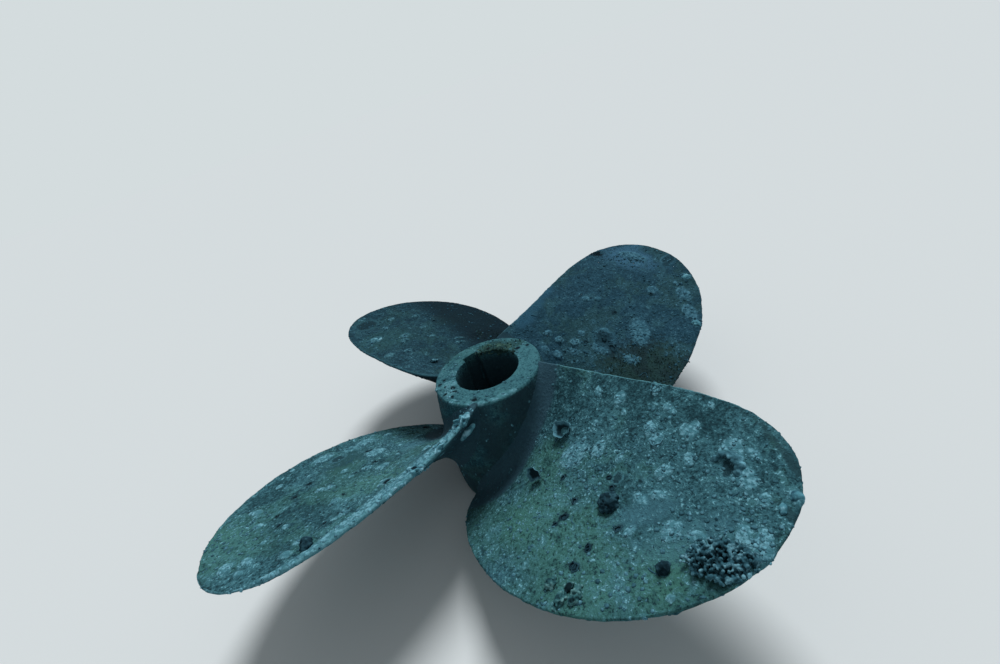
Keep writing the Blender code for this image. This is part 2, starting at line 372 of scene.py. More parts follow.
def strewnMarks(number, back):
    rng = np.random.default_rng(40 + 10 * number + int(back))
    found = {}
    for kind, (count, low, high) in strewn.items():
        found[kind] = []
        for _ in range(count):
            radius = rng.uniform(*strewnBand["radius"])
            side = rng.uniform(-strewnBand["across"], strewnBand["across"])
            along = widthMiddle(radius) + side * float(halfWidth(radius))
            length = low * (high / low) ** rng.random()
            width = length * rng.uniform(*strewnBand["widths"])
            found[kind].append((radius, along, length, width, rng.uniform(0, 180)))
    return found


# Skins of fine mesh over the casting, which carry the crust's own relief

bladeGrid = {
    "columns": 162, "filletRows": 12, "spanRows": 142, "spanEnd": 0.9, "tipRows": 24, "tipShare": 0.1,
    "nose": (0, 0.0007, 0.002, 0.0038, 0.006, 0.009), "sink": 0.002, "footFlare": 0.004, "rootGuess": 0.25,
    "rounds": 14, "edgeWear": 0.0016,
}


def bladeMesh(number):
    nose = np.array(bladeGrid["nose"])
    inner = np.linspace(-1, 1, bladeGrid["columns"] - 2 * len(nose) + 2)[1:-1]
    insets = np.concatenate([nose, np.full(len(inner), nose[-1]), nose[::-1]])
    sides = np.concatenate([np.full(len(nose), -1.0), inner, np.full(len(nose), 1.0)])

    def across(radius):
        # For each column, the way along the helix and the share of the half width
        half = halfWidth(radius)
        offset = sides * (half - insets * np.minimum(1, half / (2 * nose[-1])))
        return widthMiddle(radius) + offset, offset / np.maximum(half, 1e-9)

    def depth(radius, share, flare, back):
        edge = casting["edgeThickness"] / 2
        reach = np.minimum(halfWidth(radius) * (1 - np.abs(share)), casting["tipRadius"] - radius)
        cutBack = edge - np.sqrt(np.clip(edge**2 - np.clip(edge - reach, 0, None) ** 2, 0, None))
        flared = flare * (1 - share**4)
        return thickness(radius, share) - cutBack + flared if back else cutBack - flared

    columns = bladeGrid["columns"]
    bends = np.linspace(0, np.pi / 2, bladeGrid["filletRows"])
    foot = [(-bladeGrid["sink"], casting["fillet"] + bladeGrid["footFlare"])]
    foot += [(casting["fillet"] * (1 - math.cos(b)), casting["fillet"] * (1 - math.sin(b))) for b in bends]
    spanPart = np.linspace(0, bladeGrid["spanEnd"], bladeGrid["spanRows"] + 1)[1:]
    bends = np.linspace(0, np.pi / 2, bladeGrid["tipRows"] + 1)[1:-1]
    steps = np.concatenate([spanPart, bladeGrid["spanEnd"] + bladeGrid["tipShare"] * np.sin(bends)])
    faces = []
    for back in (False, True):
        rows = []
        for clearance, flare in foot:
            radius = np.full(columns, bladeGrid["rootGuess"])
            for _ in range(bladeGrid["rounds"]):
                along, share = across(radius)
                place = bladePoint(radius, along, depth(radius, share, flare, back), 1)
                radius = bossRadius(place[:, 2]) + clearance
            along, share = across(radius)
            rows.append((radius, along, depth(radius, share, flare, back), share))
        start = rows[-1][0]
        for step in steps:
            radius = start + (casting["tipRadius"] - start) * step
            along, share = across(radius)
            rows.append((radius, along, depth(radius, share, 0, back), share))
        faces.append(np.array(rows).transpose(1, 0, 2))
    rows = len(foot) + len(steps)
    front = np.arange(rows * columns).reshape(rows, columns)
    behind = np.empty_like(front)
    behind[:, 1:-1] = rows * columns + np.arange(rows * (columns - 2)).reshape(rows, columns - 2)
    behind[:, 0], behind[:, -1] = front[:, 0], front[:, -1]
    tip = rows * columns + rows * (columns - 2)
    end = (casting["tipRadius"], float(widthMiddle(casting["tipRadius"])), casting["edgeThickness"] / 2, 0)
    radius, along, deep, share = [
        np.concatenate([faces[0][i].ravel(), faces[1][i][:, 1:-1].ravel(), [end[i]]]) for i in range(4)
    ]
    points = bladePoint(radius, along, deep, number)
    # Small dents and nicks that years of wear leave along the edges
    rough = drift(points, 0.05, 3) + 0.7 * drift(points, 0.018, 4)
    worn = np.abs(share) ** 12 * rough * bladeGrid["edgeWear"]
    points = bladePoint(radius, along - np.sign(share) * np.abs(worn) * 1.5, deep, number)
    quads = []
    for grid, turned in ((front, False), (behind, True)):
        corners = np.stack([grid[:-1, :-1], grid[:-1, 1:], grid[1:, 1:], grid[1:, :-1]], -1).reshape(-1, 4)
        quads += (corners[:, ::-1] if turned else corners).tolist()
        ends = grid[-1].tolist()
        quads += [(ends[c], ends[c + 1], tip) for c in range(columns - 1)]
    # Inside the boss, one band from face to back closes the root
    face, back = front[0].tolist(), behind[0].tolist()
    quads += [(face[c + 1], face[c], back[c], back[c + 1]) for c in range(1, columns - 2)]
    quads += [(face[0], back[1], face[1]), (face[-1], face[-2], back[-2])]
    mesh = meshOf(f"blade_{number}_skin", points, quads)
    isFront = np.arange(len(points)) < rows * columns
    isFront[-1] = True
    marks = [bladeMarks.get(number) or strewnMarks(number, False), strewnMarks(number, True)]
    found = {}
    for kind in kinds + limeKinds:
        onFace, onBack = [near(side[kind], radius, along) for side in marks]
        found[kind] = np.where(isFront, onFace, onBack)
    if number == 4:
        # A rind of lime along the trailing edge, widest at the root
        wide = np.interp(radius, [0.26, 0.45, 0.80, 0.93, 1.0], [0.110, 0.085, 0.042, 0.018, 0.002])
        inward = widthMiddle(radius) + halfWidth(radius) - along
        found["colony"] = np.minimum(found["colony"], np.where(isFront, inward / wide, 3))
    patchy = patches(points, 0.5)
    thick, thin = [smoothStep(found.pop(kind), 1.3, 0.5) for kind in limeKinds]
    lime = patchy + 0.3 * thick - 0.45 * thin
    for kind, values in found.items():
        store(mesh, kind, values)
    # Painted shade in the corner between blade and boss, where the boss shades the root, and less lime grows
    # there
    shadeReach = 0.305 + 0.10 * smoothStep(along, 0.10, -0.25)
    corner = smoothStep(radius / shadeReach, 1.0, 0.86) if number != 2 else smoothStep(radius, 0.29, 0.25)
    # On blade 3 the painted shade lies instead over the side where along is low, the whole span long
    if number == 3:
        corner = 0.7 * smoothStep(along - 0.3 * (radius - 0.78), 0.13, -0.08)
    # On the back, painted shade near the root
    store(mesh, "shelter", np.where(isFront, corner, smoothStep(radius, 0.50, 0.26)))
    bare = np.where(isFront, 1 - 0.85 * corner, 0.7)
    store(mesh, "lime", np.clip(lime - 0.25 * (1 - bare), 0, 1) * smoothStep(radius, 0.235, 0.27) * bare)
    for kind in ("machined", "calm"):
        store(mesh, kind, np.zeros(len(points)))
    # A pale rim along the edges, short of the tip: partly worn lime and partly painted highlight
    paleRimAndHighlight = smoothStep(halfWidth(radius) * (1 - share), 0.008, 0.001) * smoothStep(radius, 0.97, 0.90)
    store(mesh, "edge", paleRimAndHighlight)
    return mesh


bossGrid = {
    "turnSteps": 240, "keyWallSteps": 4, "keyFloorSteps": 10, "bendSteps": 5,
    "sideRows": 62, "boreRows": 26, "aftRows": 19, "forwardRows": 5,
}

# On the aft face: angle in degrees, then radius and size in millimetres
bossSpots = {
    "hole": [
        (-36.7, 183, 22), (103, 161, 20), (-101.8, 195, 20), (-83.3, 155, 18), (-73.1, 160, 15),
        (-79.5, 196, 15), (-92, 176, 12), (-68, 185, 11), (-110, 178, 12), (97, 196, 14),
    ],
    "colony": [
        (-40, 208, 40), (-28, 209, 30), (-93.5, 160, 60), (-62, 208, 30), (-98, 200, 40), (-76, 180, 50),
        (-5.4, 207, 44), (6, 209, 30), (-16, 208, 30),
    ],
    "turf": [(112, 185, 60), (124, 160, 80), (140, 155, 85), (156, 155, 80), (168, 145, 50)],
}


def bossMesh():
    length, key = casting["bossLength"], casting["keyWidth"] / 2
    # Polar angles run from the keyway's middle, with points close together down its two walls
    opening = math.asin(key / boreRadius(length))
    turns = np.linspace(opening, 2 * math.pi - opening, bossGrid["turnSteps"])
    walls = np.linspace(0, 1, bossGrid["keyWallSteps"] + 1)[1:]
    floorWay = np.linspace(-1, 1, bossGrid["keyFloorSteps"])[1:-1]

    def boreRing(height, widen=0.0):
        radius = boreRadius(height) + widen
        half = key + widen * 0.6
        floor = boreRadius(height) + casting["keyDepth"] + widen * 0.6
        circle = np.stack([radius * np.cos(turns), radius * np.sin(turns)], -1)
        edge = math.sqrt(radius**2 - half**2)
        circle[0], circle[-1] = (edge, half), (edge, -half)
        down = np.stack([edge + (floor - edge) * walls, np.full(len(walls), -half)], -1)
        base = np.stack([np.full(len(floorWay), floor), floorWay * half], -1)
        up = np.stack([floor + (edge - floor) * walls, np.full(len(walls), half)], -1)
        up = np.concatenate([[(floor, half)], up[:-1]])
        ring = np.concatenate([circle, down, base, up])
        return np.column_stack([ring, np.full(len(ring), height)])

    mouth = boreRing(length, casting["boreRound"])
    angles = np.arctan2(mouth[:, 1], mouth[:, 0])

    def outerRing(radius, height):
        return np.stack([radius * np.cos(angles), radius * np.sin(angles), np.full(len(angles), height)], -1)

    rim, lip = casting["rimRound"], casting["boreRound"]
    bend = np.linspace(0, np.pi / 2, bossGrid["bendSteps"])
    rings = []
    for height in np.linspace(rim, length - rim, bossGrid["sideRows"]):
        rings.append(outerRing(bossRadius(height), height))
    for b in bend[1:]:
        radius = bossRadius(length) - rim * (1 - math.cos(b))
        rings.append(outerRing(radius, length - rim * (1 - math.sin(b))))
    outer = rings[-1]
    for share in np.linspace(0, 1, bossGrid["aftRows"] + 1)[1:]:
        rings.append(outer + (mouth - outer) * share)
    for b in bend[1:]:
        rings.append(boreRing(length - lip * (1 - math.cos(b)), lip * (1 - math.sin(b))))
    for height in np.linspace(length - lip, lip, bossGrid["boreRows"])[1:]:
        rings.append(boreRing(height))
    for b in bend[1:]:
        rings.append(boreRing(lip * (1 - math.sin(b)), lip * (1 - math.cos(b))))
    inner = rings[-1]
    outer = outerRing(bossRadius(0) - rim, 0)
    for share in np.linspace(0, 1, bossGrid["forwardRows"] + 1)[1:]:
        rings.append(inner + (outer - inner) * share)
    for b in bend[1:-1]:
        rings.append(outerRing(bossRadius(0) - rim * (1 - math.sin(b)), rim * (1 - math.cos(b))))
    rings = np.array(rings)
    count, around = rings.shape[:2]
    turn = math.radians(casting["keyAngle"])
    c, s = math.cos(turn), math.sin(turn)
    points = rings.reshape(-1, 3) @ np.array([[c, s, 0], [-s, c, 0], [0, 0, 1]])
    index = np.arange(count * around).reshape(count, around)
    beside = np.roll(index, -1, 1)
    faces = np.stack([index, beside, np.roll(beside, -1, 0), np.roll(index, -1, 0)], -1)
    mesh = meshOf("boss_skin", points, faces.reshape(-1, 4).tolist())
    height = points[:, 2]
    aft = smoothStep(height, length - 0.012, length - 0.003)
    way = np.hypot(points[:, 0], points[:, 1])
    store(mesh, "edge", np.zeros(len(points)))
    for kind in kinds:
        nearest = np.full(len(points), 3.0)
        for angle, *sizes in bossSpots.get(kind, []):
            spot = math.radians(angle)
            radius, size = np.array(sizes) / 1000
            apart = np.hypot(points[:, 0] - radius * math.cos(spot), points[:, 1] - radius * math.sin(spot))
            nearest = np.minimum(nearest, apart / (size / 2))
        store(mesh, kind, np.where(aft > 0.2, nearest, 3.0))
    inside = way < boreRadius(height) + casting["keyDepth"] + 0.002
    inside &= (height < length - 0.0005) & (way < 0.175)
    # One half of the aft face stayed smooth, the other has pitted and crusted over
    side = np.cos(np.arctan2(points[:, 1], points[:, 0]) - math.radians(40))
    machined = aft * (0.25 + 0.75 * smoothStep(side, -0.45, 0.25))
    store(mesh, "machined", machined)
    # The forward face, which the part stands on, stays flat
    stood = smoothStep(height, 0.012, 0.001)
    store(mesh, "calm", np.maximum(0.65 * machined, stood))
    # Painted shade over the boss's side and forward face, mottled, and down the bore, darker the deeper it goes
    sideShade = np.clip(0.62 + 0.5 * drift(points, 0.07, 9) + 0.3 * drift(points, 0.022, 10), 0, 1)
    deep = smoothStep(height, length + 0.01, length - 0.08)
    store(mesh, "shelter", np.where(inside, deep, (1 - aft) * sideShade))
    patchy = patches(points, 0.45)
    rough = smoothStep(side, 0.25, -0.6)
    crusted = patchy * (0.45 + 0.55 * aft) - 0.16 * (1 - aft) - aft * (0.25 - 0.47 * rough)
    crusted = np.clip(crusted, 0, 1) * np.where(inside, 0.0, 1.0)
    store(mesh, "lime", crusted * smoothStep(height, 0.008, 0.020))
    return mesh


# Runs a piece's modifiers and keeps what they make as a plain mesh

def settle(piece):
    graph = bpy.context.evaluated_depsgraph_get()
    graph.update()
    ready = piece.evaluated_get(graph)
    made = bpy.data.meshes.new_from_object(ready, preserve_all_data_layers=True, depsgraph=graph)
    piece.modifiers.clear()
    piece.data = made


def grow(name, mesh, tree, values):
    piece = addPiece(name, mesh)
    modifier = piece.modifiers.new(tree.name, "NODES")
    modifier.node_group = tree
    for socket in tree.interface.items_tree:
        if socket.in_out == "INPUT" and socket.name in values:
            modifier[socket.identifier] = values[socket.name]
    settle(piece)
    return piece


def namedTree(name, numbers):
    # A tree with geometry in and out, an input for each size, a seed and a finish
    tree = bpy.data.node_groups.new(name, "GeometryNodeTree")
    tree.interface.new_socket(name="Geometry", in_out="INPUT", socket_type="NodeSocketGeometry")
    for number in numbers:
        tree.interface.new_socket(name=number, in_out="INPUT", socket_type="NodeSocketFloat")
    tree.interface.new_socket(name="Seed", in_out="INPUT", socket_type="NodeSocketInt")
    tree.interface.new_socket(name="Finish", in_out="INPUT", socket_type="NodeSocketMaterial")
    tree.interface.new_socket(name="Geometry", in_out="OUTPUT", socket_type="NodeSocketGeometry")
    return tree


# The crust's relief: lime patches, low lumps and grain raised on a skin, caked colonies and sunken holes

crust = {
    "Patch Height": 0.0016, "Patch Size": 0.09, "Lump Height": 0.0022, "Lump Size": 0.024,
    "Grain Height": 0.0012, "Grain Size": 0.011, "Colony Height": 0.0042, "Hole Depth": 0.006,
}


def crustTree():
    tree = namedTree("marineCrust", crust)
    add = partial(addNode, tree)
    given = add("NodeGroupInput", out=None).outputs
    where = add("GeometryNodeInputPosition")
    mark = {}
    for kind in ("colony", "hole", "calm", "lime"):
        mark[kind] = add("GeometryNodeInputNamedAttribute", {"Name": kind}, data_type="FLOAT")
    noise = {}
    for kind, detail, roughness in (("Patch", 3.0, 0.55), ("Lump", 4.0, 0.65), ("Grain", 2.0, 0.6)):
        scale = add("ShaderNodeMath", {0: 1.0, 1: given[f"{kind} Size"]}, operation="DIVIDE")
        plugs = {"Vector": where, "Scale": scale, "Detail": detail, "Roughness": roughness}
        noise[kind] = add("ShaderNodeTexNoise", plugs)
    patch = add("ShaderNodeMapRange", {"Value": noise["Patch"], "From Min": 0.38, "From Max": 0.62}, **eased)
    lump = add("ShaderNodeMapRange", {"Value": noise["Lump"], "From Min": 0.47, "From Max": 0.68}, **eased)
    lump = add("ShaderNodeMath", {0: lump, 1: mark["lime"]}, operation="MULTIPLY")
    ragged = add("ShaderNodeMath", {0: noise["Lump"], 1: 1.8, 2: mark["colony"]}, operation="MULTIPLY_ADD")
    colony = add("ShaderNodeMapRange", {"Value": ragged, "From Min": 2.05, "From Max": 1.6}, **eased)
    hole = add("ShaderNodeMapRange", {"Value": mark["hole"], "From Min": 1.0, "From Max": 0.4}, **eased)
    grain = add("ShaderNodeMath", {0: noise["Grain"], 1: 0.5}, operation="SUBTRACT")
    heights = (
        (patch, "Patch Height", 1.0), (lump, "Lump Height", 1.0), (grain, "Grain Height", 2.0),
        (colony, "Colony Height", 1.0), (hole, "Hole Depth", -1.0),
    )
    rise = 0.0
    for share, name, times in heights:
        scaled = add("ShaderNodeMath", {0: given[name], 1: times}, operation="MULTIPLY")
        rise = add("ShaderNodeMath", {0: share, 1: scaled, 2: rise}, operation="MULTIPLY_ADD")
    free = add("ShaderNodeMath", {0: 1.0, 1: mark["calm"]}, operation="SUBTRACT")
    rise = add("ShaderNodeMath", {0: rise, 1: free}, operation="MULTIPLY")
    normal = add("GeometryNodeInputNormal")
    offset = add("ShaderNodeVectorMath", {0: normal, "Scale": rise}, operation="SCALE")
    moved = add("GeometryNodeSetPosition", {"Geometry": given["Geometry"], "Offset": offset})
    tall = add("ShaderNodeMath", {0: patch, 1: 0.4, 2: lump}, operation="MULTIPLY_ADD")
    kept = add("GeometryNodeStoreNamedAttribute", {"Geometry": moved, "Name": "relief", "Value": tall})
    real = add("GeometryNodeRealizeInstances", {"Geometry": kept})
    dressed = add("GeometryNodeSetMaterial", {"Geometry": real, "Material": given["Finish"]})
    add("NodeGroupOutput", {0: dressed}, out=None)
    return tree


# Small growth strewn over a skin, each kind a low shape of a few faces

strewing = {
    "flake": {
        "Density": 5000.0, "Colony Density": 3900.0, "Smallest": 0.0016, "Largest": 0.0088, "Height": 0.21,
        "Lean": 0.12, "Wander": 0.0016,
    },
    "barnacle": {
        "Density": 130.0, "Colony Density": 500.0, "Smallest": 0.0024, "Largest": 0.0060, "Height": 0.75,
        "Lean": 0.15, "Wander": 0.0006,
    },
    "tuft": {
        "Density": 9000.0, "Colony Density": 0.0, "Smallest": 0.0013, "Largest": 0.0030, "Height": 2.6,
        "Lean": 0.7, "Wander": 0.0012,
    },
}


def strewnTree(kind):
    tree = namedTree(kind + "Strewn", strewing[kind])
    add = partial(addNode, tree)
    given = add("NodeGroupInput", out=None).outputs
    seed = given["Seed"]
    mark = {}
    for name in ("lime", "colony", "turf"):
        mark[name] = add("GeometryNodeInputNamedAttribute", {"Name": name}, data_type="FLOAT")
    within = add("ShaderNodeMapRange", {"Value": mark["colony"], "From Min": 1.05, "From Max": 0.75}, **eased)
    if kind == "tuft":
        share = add("ShaderNodeMapRange", {"Value": mark["turf"], "From Min": 1.1, "From Max": 0.6}, **eased)
        plugs = {"Vertices": 4, "Radius Top": 0.15, "Radius Bottom": 1.0, "Depth": 1.0}
        shape = add("GeometryNodeMeshCone", plugs)
    else:
        squared = add("ShaderNodeMath", {0: mark["lime"], 1: 2.0}, operation="POWER")
        least = 0.22 if kind == "flake" else 0.0
        some = add("ShaderNodeMapRange", {"Value": mark["lime"], "From Max": 0.05, "To Max": least})
        share = add("ShaderNodeMath", {0: squared, 1: some}, operation="MAXIMUM")
        shape = add("GeometryNodeMeshIcoSphere", {"Radius": 1.0, "Subdivisions": 1})
    if kind == "barnacle":
        # A low cone whose top is drawn in to a rim and pushed down to a floor, darkened with painted shade
        plugs = {"Vertices": 7, "Radius Top": 0.55, "Radius Bottom": 1.0, "Depth": 1.0}
        cone = add("GeometryNodeMeshCone", plugs, out=None).outputs
        plugs = {"Mesh": cone["Mesh"], "Selection": cone["Top"], "Offset Scale": 0.02}
        rim = add("GeometryNodeExtrudeMesh", plugs, out=None).outputs
        plugs = {"Geometry": rim["Mesh"], "Selection": rim["Top"], "Scale": 0.62}
        narrow = add("GeometryNodeScaleElements", plugs)
        plugs = {"Mesh": narrow, "Selection": rim["Top"], "Offset Scale": -0.6}
        inner = add("GeometryNodeExtrudeMesh", plugs, out=None).outputs
        plugs = {"Geometry": inner["Mesh"], "Name": "nook", "Value": inner["Top"]}
        shape = add("GeometryNodeStoreNamedAttribute", plugs, domain="FACE")
    strewn = add("ShaderNodeMath", {0: share, 1: given["Density"]}, operation="MULTIPLY")
    plugs = {0: within, 1: given["Colony Density"], 2: strewn}
    density = add("ShaderNodeMath", plugs, operation="MULTIPLY_ADD")
    plugs = {"Mesh": given["Geometry"], "Density": density, "Seed": seed}
    spots = add("GeometryNodeDistributePointsOnFaces", plugs, out=None).outputs
    chance = add("FunctionNodeRandomValue", {2: 0.0, 3: 1.0, 8: seed}, out=1, data_type="FLOAT")
    rare = add("ShaderNodeMath", {0: chance, 1: 2.2}, operation="POWER")
    size = add("ShaderNodeMapRange", {"Value": rare, "To Min": given["Smallest"], "To Max": given["Largest"]})
    height = add("ShaderNodeMath", {0: size, 1: given["Height"]}, operation="MULTIPLY")
    squeeze = add("FunctionNodeRandomValue", {2: 0.55, 3: 1.0, 8: 5}, out=1, data_type="FLOAT")
    breadth = add("ShaderNodeMath", {0: size, 1: squeeze if kind == "flake" else 1.0}, operation="MULTIPLY")
    scale = add("ShaderNodeCombineXYZ", {"X": size, "Y": breadth, "Z": height})
    other = add("ShaderNodeMath", {0: given["Lean"], 1: -1.0}, operation="MULTIPLY")
    low = add("ShaderNodeCombineXYZ", {"X": other, "Y": other, "Z": 0.0})
    high = add("ShaderNodeCombineXYZ", {"X": given["Lean"], "Y": given["Lean"], "Z": 6.283})
    turn = add("FunctionNodeRandomValue", {0: low, 1: high, 8: 9}, data_type="FLOAT_VECTOR")
    turn = add("FunctionNodeEulerToRotation", {0: turn})
    plugs = {"Rotation": spots["Rotation"], "Rotate By": turn}
    turn = add("FunctionNodeRotateRotation", plugs, rotation_space="LOCAL")
    plugs = {"Points": spots["Points"], "Instance": shape, "Rotation": turn, "Scale": scale}
    placed = add("GeometryNodeInstanceOnPoints", plugs)
    tint = add("FunctionNodeRandomValue", {2: 0.0, 3: 0.65, 8: 13}, out=1, data_type="FLOAT")
    tint = add("ShaderNodeMath", {0: within, 1: 0.35, 2: tint}, operation="MULTIPLY_ADD")
    plugs = {"Geometry": placed, "Name": "shade", "Value": tint}
    tinted = add("GeometryNodeStoreNamedAttribute", plugs, domain="INSTANCE")
    real = add("GeometryNodeRealizeInstances", {"Geometry": tinted})
    # Every corner wanders a little, so that no two shapes are alike
    where = add("GeometryNodeInputPosition")
    drifted = add("ShaderNodeTexNoise", {"Scale": 160.0, "Detail": 2.0, "Vector": where}, out=1)
    centred = add("ShaderNodeVectorMath", {0: drifted, 1: (0.5, 0.5, 0.5)}, operation="SUBTRACT")
    swing = add("ShaderNodeMath", {0: given["Wander"], 1: 4.0}, operation="MULTIPLY")
    offset = add("ShaderNodeVectorMath", {0: centred, "Scale": swing}, operation="SCALE")
    moved = add("GeometryNodeSetPosition", {"Geometry": real, "Offset": offset})
    shaded = add("GeometryNodeSetShadeSmooth", {"Geometry": moved, "Shade Smooth": kind == "flake"})
    dressed = add("GeometryNodeSetMaterial", {"Geometry": shaded, "Material": given["Finish"]})
    add("NodeGroupOutput", {0: dressed}, out=None)
    return tree


# Nickel aluminium bronze, sand cast, under years of thin lime and algae crust: no metal shows, only a dull,
# rough, teal-grey film, flecked with pale lime and dark pits. Each noise is (size in metres, detail,
# roughness, distortion).

crustNoise = {
    "grit": (0.0085, 3.0, 0.68, 0.3), "ragged": (0.022, 5.0, 0.76, 0.6), "blotch": (0.066, 5.0, 0.66, 0.6),
    "broad": (0.30, 2.0, 0.5, 0.0),
}

lobeSize = 0.014  # the lobes of a caked colony, in metres
slimeShine = 0.05  # specular level: wet slime hardly shines under water
crustBump = {"Strength": 0.85, "Distance": 0.0045}

# A mask adds up noises and marks with these weights, then fades in between two values
crustMasks = {
    "crust": ({"ragged": 1.6, "grit": 1.9, "blotch": 0.9, "lime": 0.2}, -0.16, 0.34),
    "algae": ({"broad": 1.0, "blotch": 0.8}, -0.04, 0.12),
    "relief": ({"relief": 1.0, "ragged": 0.6}, 0.3, 1.0),
    "cloud": ({"blotch": 1.0, "ragged": 0.7}, 0.03, 0.17),
    "dusk": ({"blotch": 1.0, "ragged": 0.7}, -0.03, -0.17),
    "dark": ({"ragged": 1.5, "grit": 2.2, "blotch": 0.4, "lime": 0.08}, -0.13, -0.34),
    "pale": ({"ragged": 1.4, "grit": 2.0, "blotch": 0.6, "lime": 0.12, "machined": -0.05}, 0.20, 0.46),
    "chalk": ({"ragged": 1.2, "grit": 2.3, "blotch": 0.6, "lime": 0.18, "machined": -0.08}, 0.44, 0.62),
    "silt": ({"silt": 1.0, "blotch": 2.0, "ragged": 0.6}, 1.3, 0.5),
    # A paler bluish strip: partly a smoother bare band, partly painted sheen
    "strip": ({"strip": 1.0, "ragged": 1.2, "grit": 0.5}, 1.3, 0.45),
    "turf": ({"turf": 1.0, "blotch": 1.4, "ragged": 1.8, "grit": 0.8}, 1.35, 0.55),
    "colony": ({"colony": 1.0, "ragged": 1.8, "grit": 1.0}, 1.10, 0.80),
    "lobe": ({"lobe": 1.0, "grit": 1.2, "ragged": 0.8}, 0.66, 0.20),
    "scar": ({"scar": 1.0, "ragged": 1.5, "grit": 0.7}, 1.08, 0.72),
    "outer": ({"scar": 1.0, "ragged": 1.3, "grit": 0.6}, 1.30, 1.04),
    "halo": ({"hole": 1.0, "ragged": 2.2, "grit": 0.9}, 2.0, 1.2),
    "hole": ({"hole": 1.0, "ragged": 2.2, "grit": 1.0}, 1.30, 0.72),
    # Pale along the edges: partly worn lime, partly painted highlight
    "edge": ({"edge": 1.0, "ragged": 1.2, "grit": 0.8}, 0.30, 0.75),
    "bright": ({"machined": 1.0}, 0.0, 1.0),
    # Painted shade, laid where the skin asks for it
    "shelter": ({"shelter": 1.0, "blotch": 0.7, "ragged": 0.5}, 0.10, 0.85),
}

# Coats in order: mask, a second mask that keeps it in, how much it covers, and its tone
crustCoats = (
    ("crust", None, 1.0, "crust"), ("algae", None, 0.5, "algae"), ("relief", None, 0.35, "lime"),
    ("silt", None, 0.4, "silt"), ("cloud", None, 0.36, "lime"), ("dusk", None, 0.44, "film"),
    ("bright", None, 0.35, "bright"), ("dark", None, 0.85, "pit"),
    ("pale", None, 0.85, "speck"), ("chalk", None, 0.85, "chalk"), ("strip", None, 0.5, "strip"),
    ("turf", None, 0.75, "turf"), ("algae", "turf", 0.4, "algae"), ("colony", None, 0.7, "lime"),
    ("lobe", "colony", 0.72, "chalk"), ("edge", None, 0.6, "speck"), ("outer", None, 0.5, "lime"),
    ("scar", None, 0.8, "pit"), ("halo", None, 0.3, "pit"), ("shelter", None, 0.85, "shade"),
    # Dark inside the holes: painted shade
    ("hole", None, 1.0, "holeShade"),
)


def crustedBronze(name, tone):
    material = bpy.data.materials.new(name)
    material.use_nodes = True
    shader = material.node_tree.nodes["Principled BSDF"]
    add = partial(addNode, material.node_tree)
    where = add("ShaderNodeTexCoord", out="Object")
    signal = {}
    for kind, (size, detail, roughness, distortion) in crustNoise.items():
        plugs = {"Vector": where, "Scale": 1 / size, "Detail": detail, "Roughness": roughness}
        noise = add("ShaderNodeTexNoise", {**plugs, "Distortion": distortion})
        signal[kind] = add("ShaderNodeMath", {0: noise, 1: 0.5}, operation="SUBTRACT")
    signal["lobe"] = add("ShaderNodeTexVoronoi", {"Vector": where, "Scale": 1 / lobeSize})
    for kind in ("relief", "lime", "machined", "edge", "shelter", *kinds):
        signal[kind] = add("ShaderNodeAttribute", out="Fac", attribute_name=kind)
    mask = {}
    for kind, (weights, low, high) in crustMasks.items():
        total = 0.0
        for source, weight in weights.items():
            total = add("ShaderNodeMath", {0: signal[source], 1: weight, 2: total}, operation="MULTIPLY_ADD")
        mask[kind] = add("ShaderNodeMapRange", {"Value": total, "From Min": low, "From Max": high}, **eased)
    colour = linear(tone["film"])
    for kind, inside, most, code in crustCoats:
        held = mask[inside] if inside else 1.0
        share = add("ShaderNodeMath", {0: mask[kind], 1: held}, operation="MULTIPLY")
        share = add("ShaderNodeMath", {0: share, 1: most}, operation="MULTIPLY")
        colour = add("ShaderNodeMix", {0: share, 6: colour, 7: linear(tone[code])}, out=2, data_type="RGBA")
    shader.inputs["Specular IOR Level"].default_value = slimeShine
    height = 0.0
    bumps = ((signal["ragged"], 1.0), (signal["grit"], 1.4), (mask["colony"], 0.25), (mask["pale"], 0.25))
    for source, weight in bumps:
        height = add("ShaderNodeMath", {0: source, 1: weight, 2: height}, operation="MULTIPLY_ADD")
    bump = add("ShaderNodeBump", {"Height": height, **crustBump})
    plugs = {"Value": signal["ragged"], "From Min": -0.2, "From Max": 0.2, "To Min": 0.75, "To Max": 0.97}
    dull = add("ShaderNodeMapRange", plugs)
    for socket, value in (("Base Color", colour), ("Normal", bump), ("Roughness", dull)):
        material.node_tree.links.new(value, shader.inputs[socket])
    return material


# Blades 1 and 4 are coloured as in full light, and differ only in silt, turf and painted shade
litBlade = {
    "film": "#234750", "crust": "#3E6D79", "algae": "#37665E", "lime": "#4E8695", "speck": "#609BA8",
    "pit": "#19333C", "strip": "#477888", "chalk": "#7FBACC", "holeShade": "#13252E", "bright": "#4B8690",
}

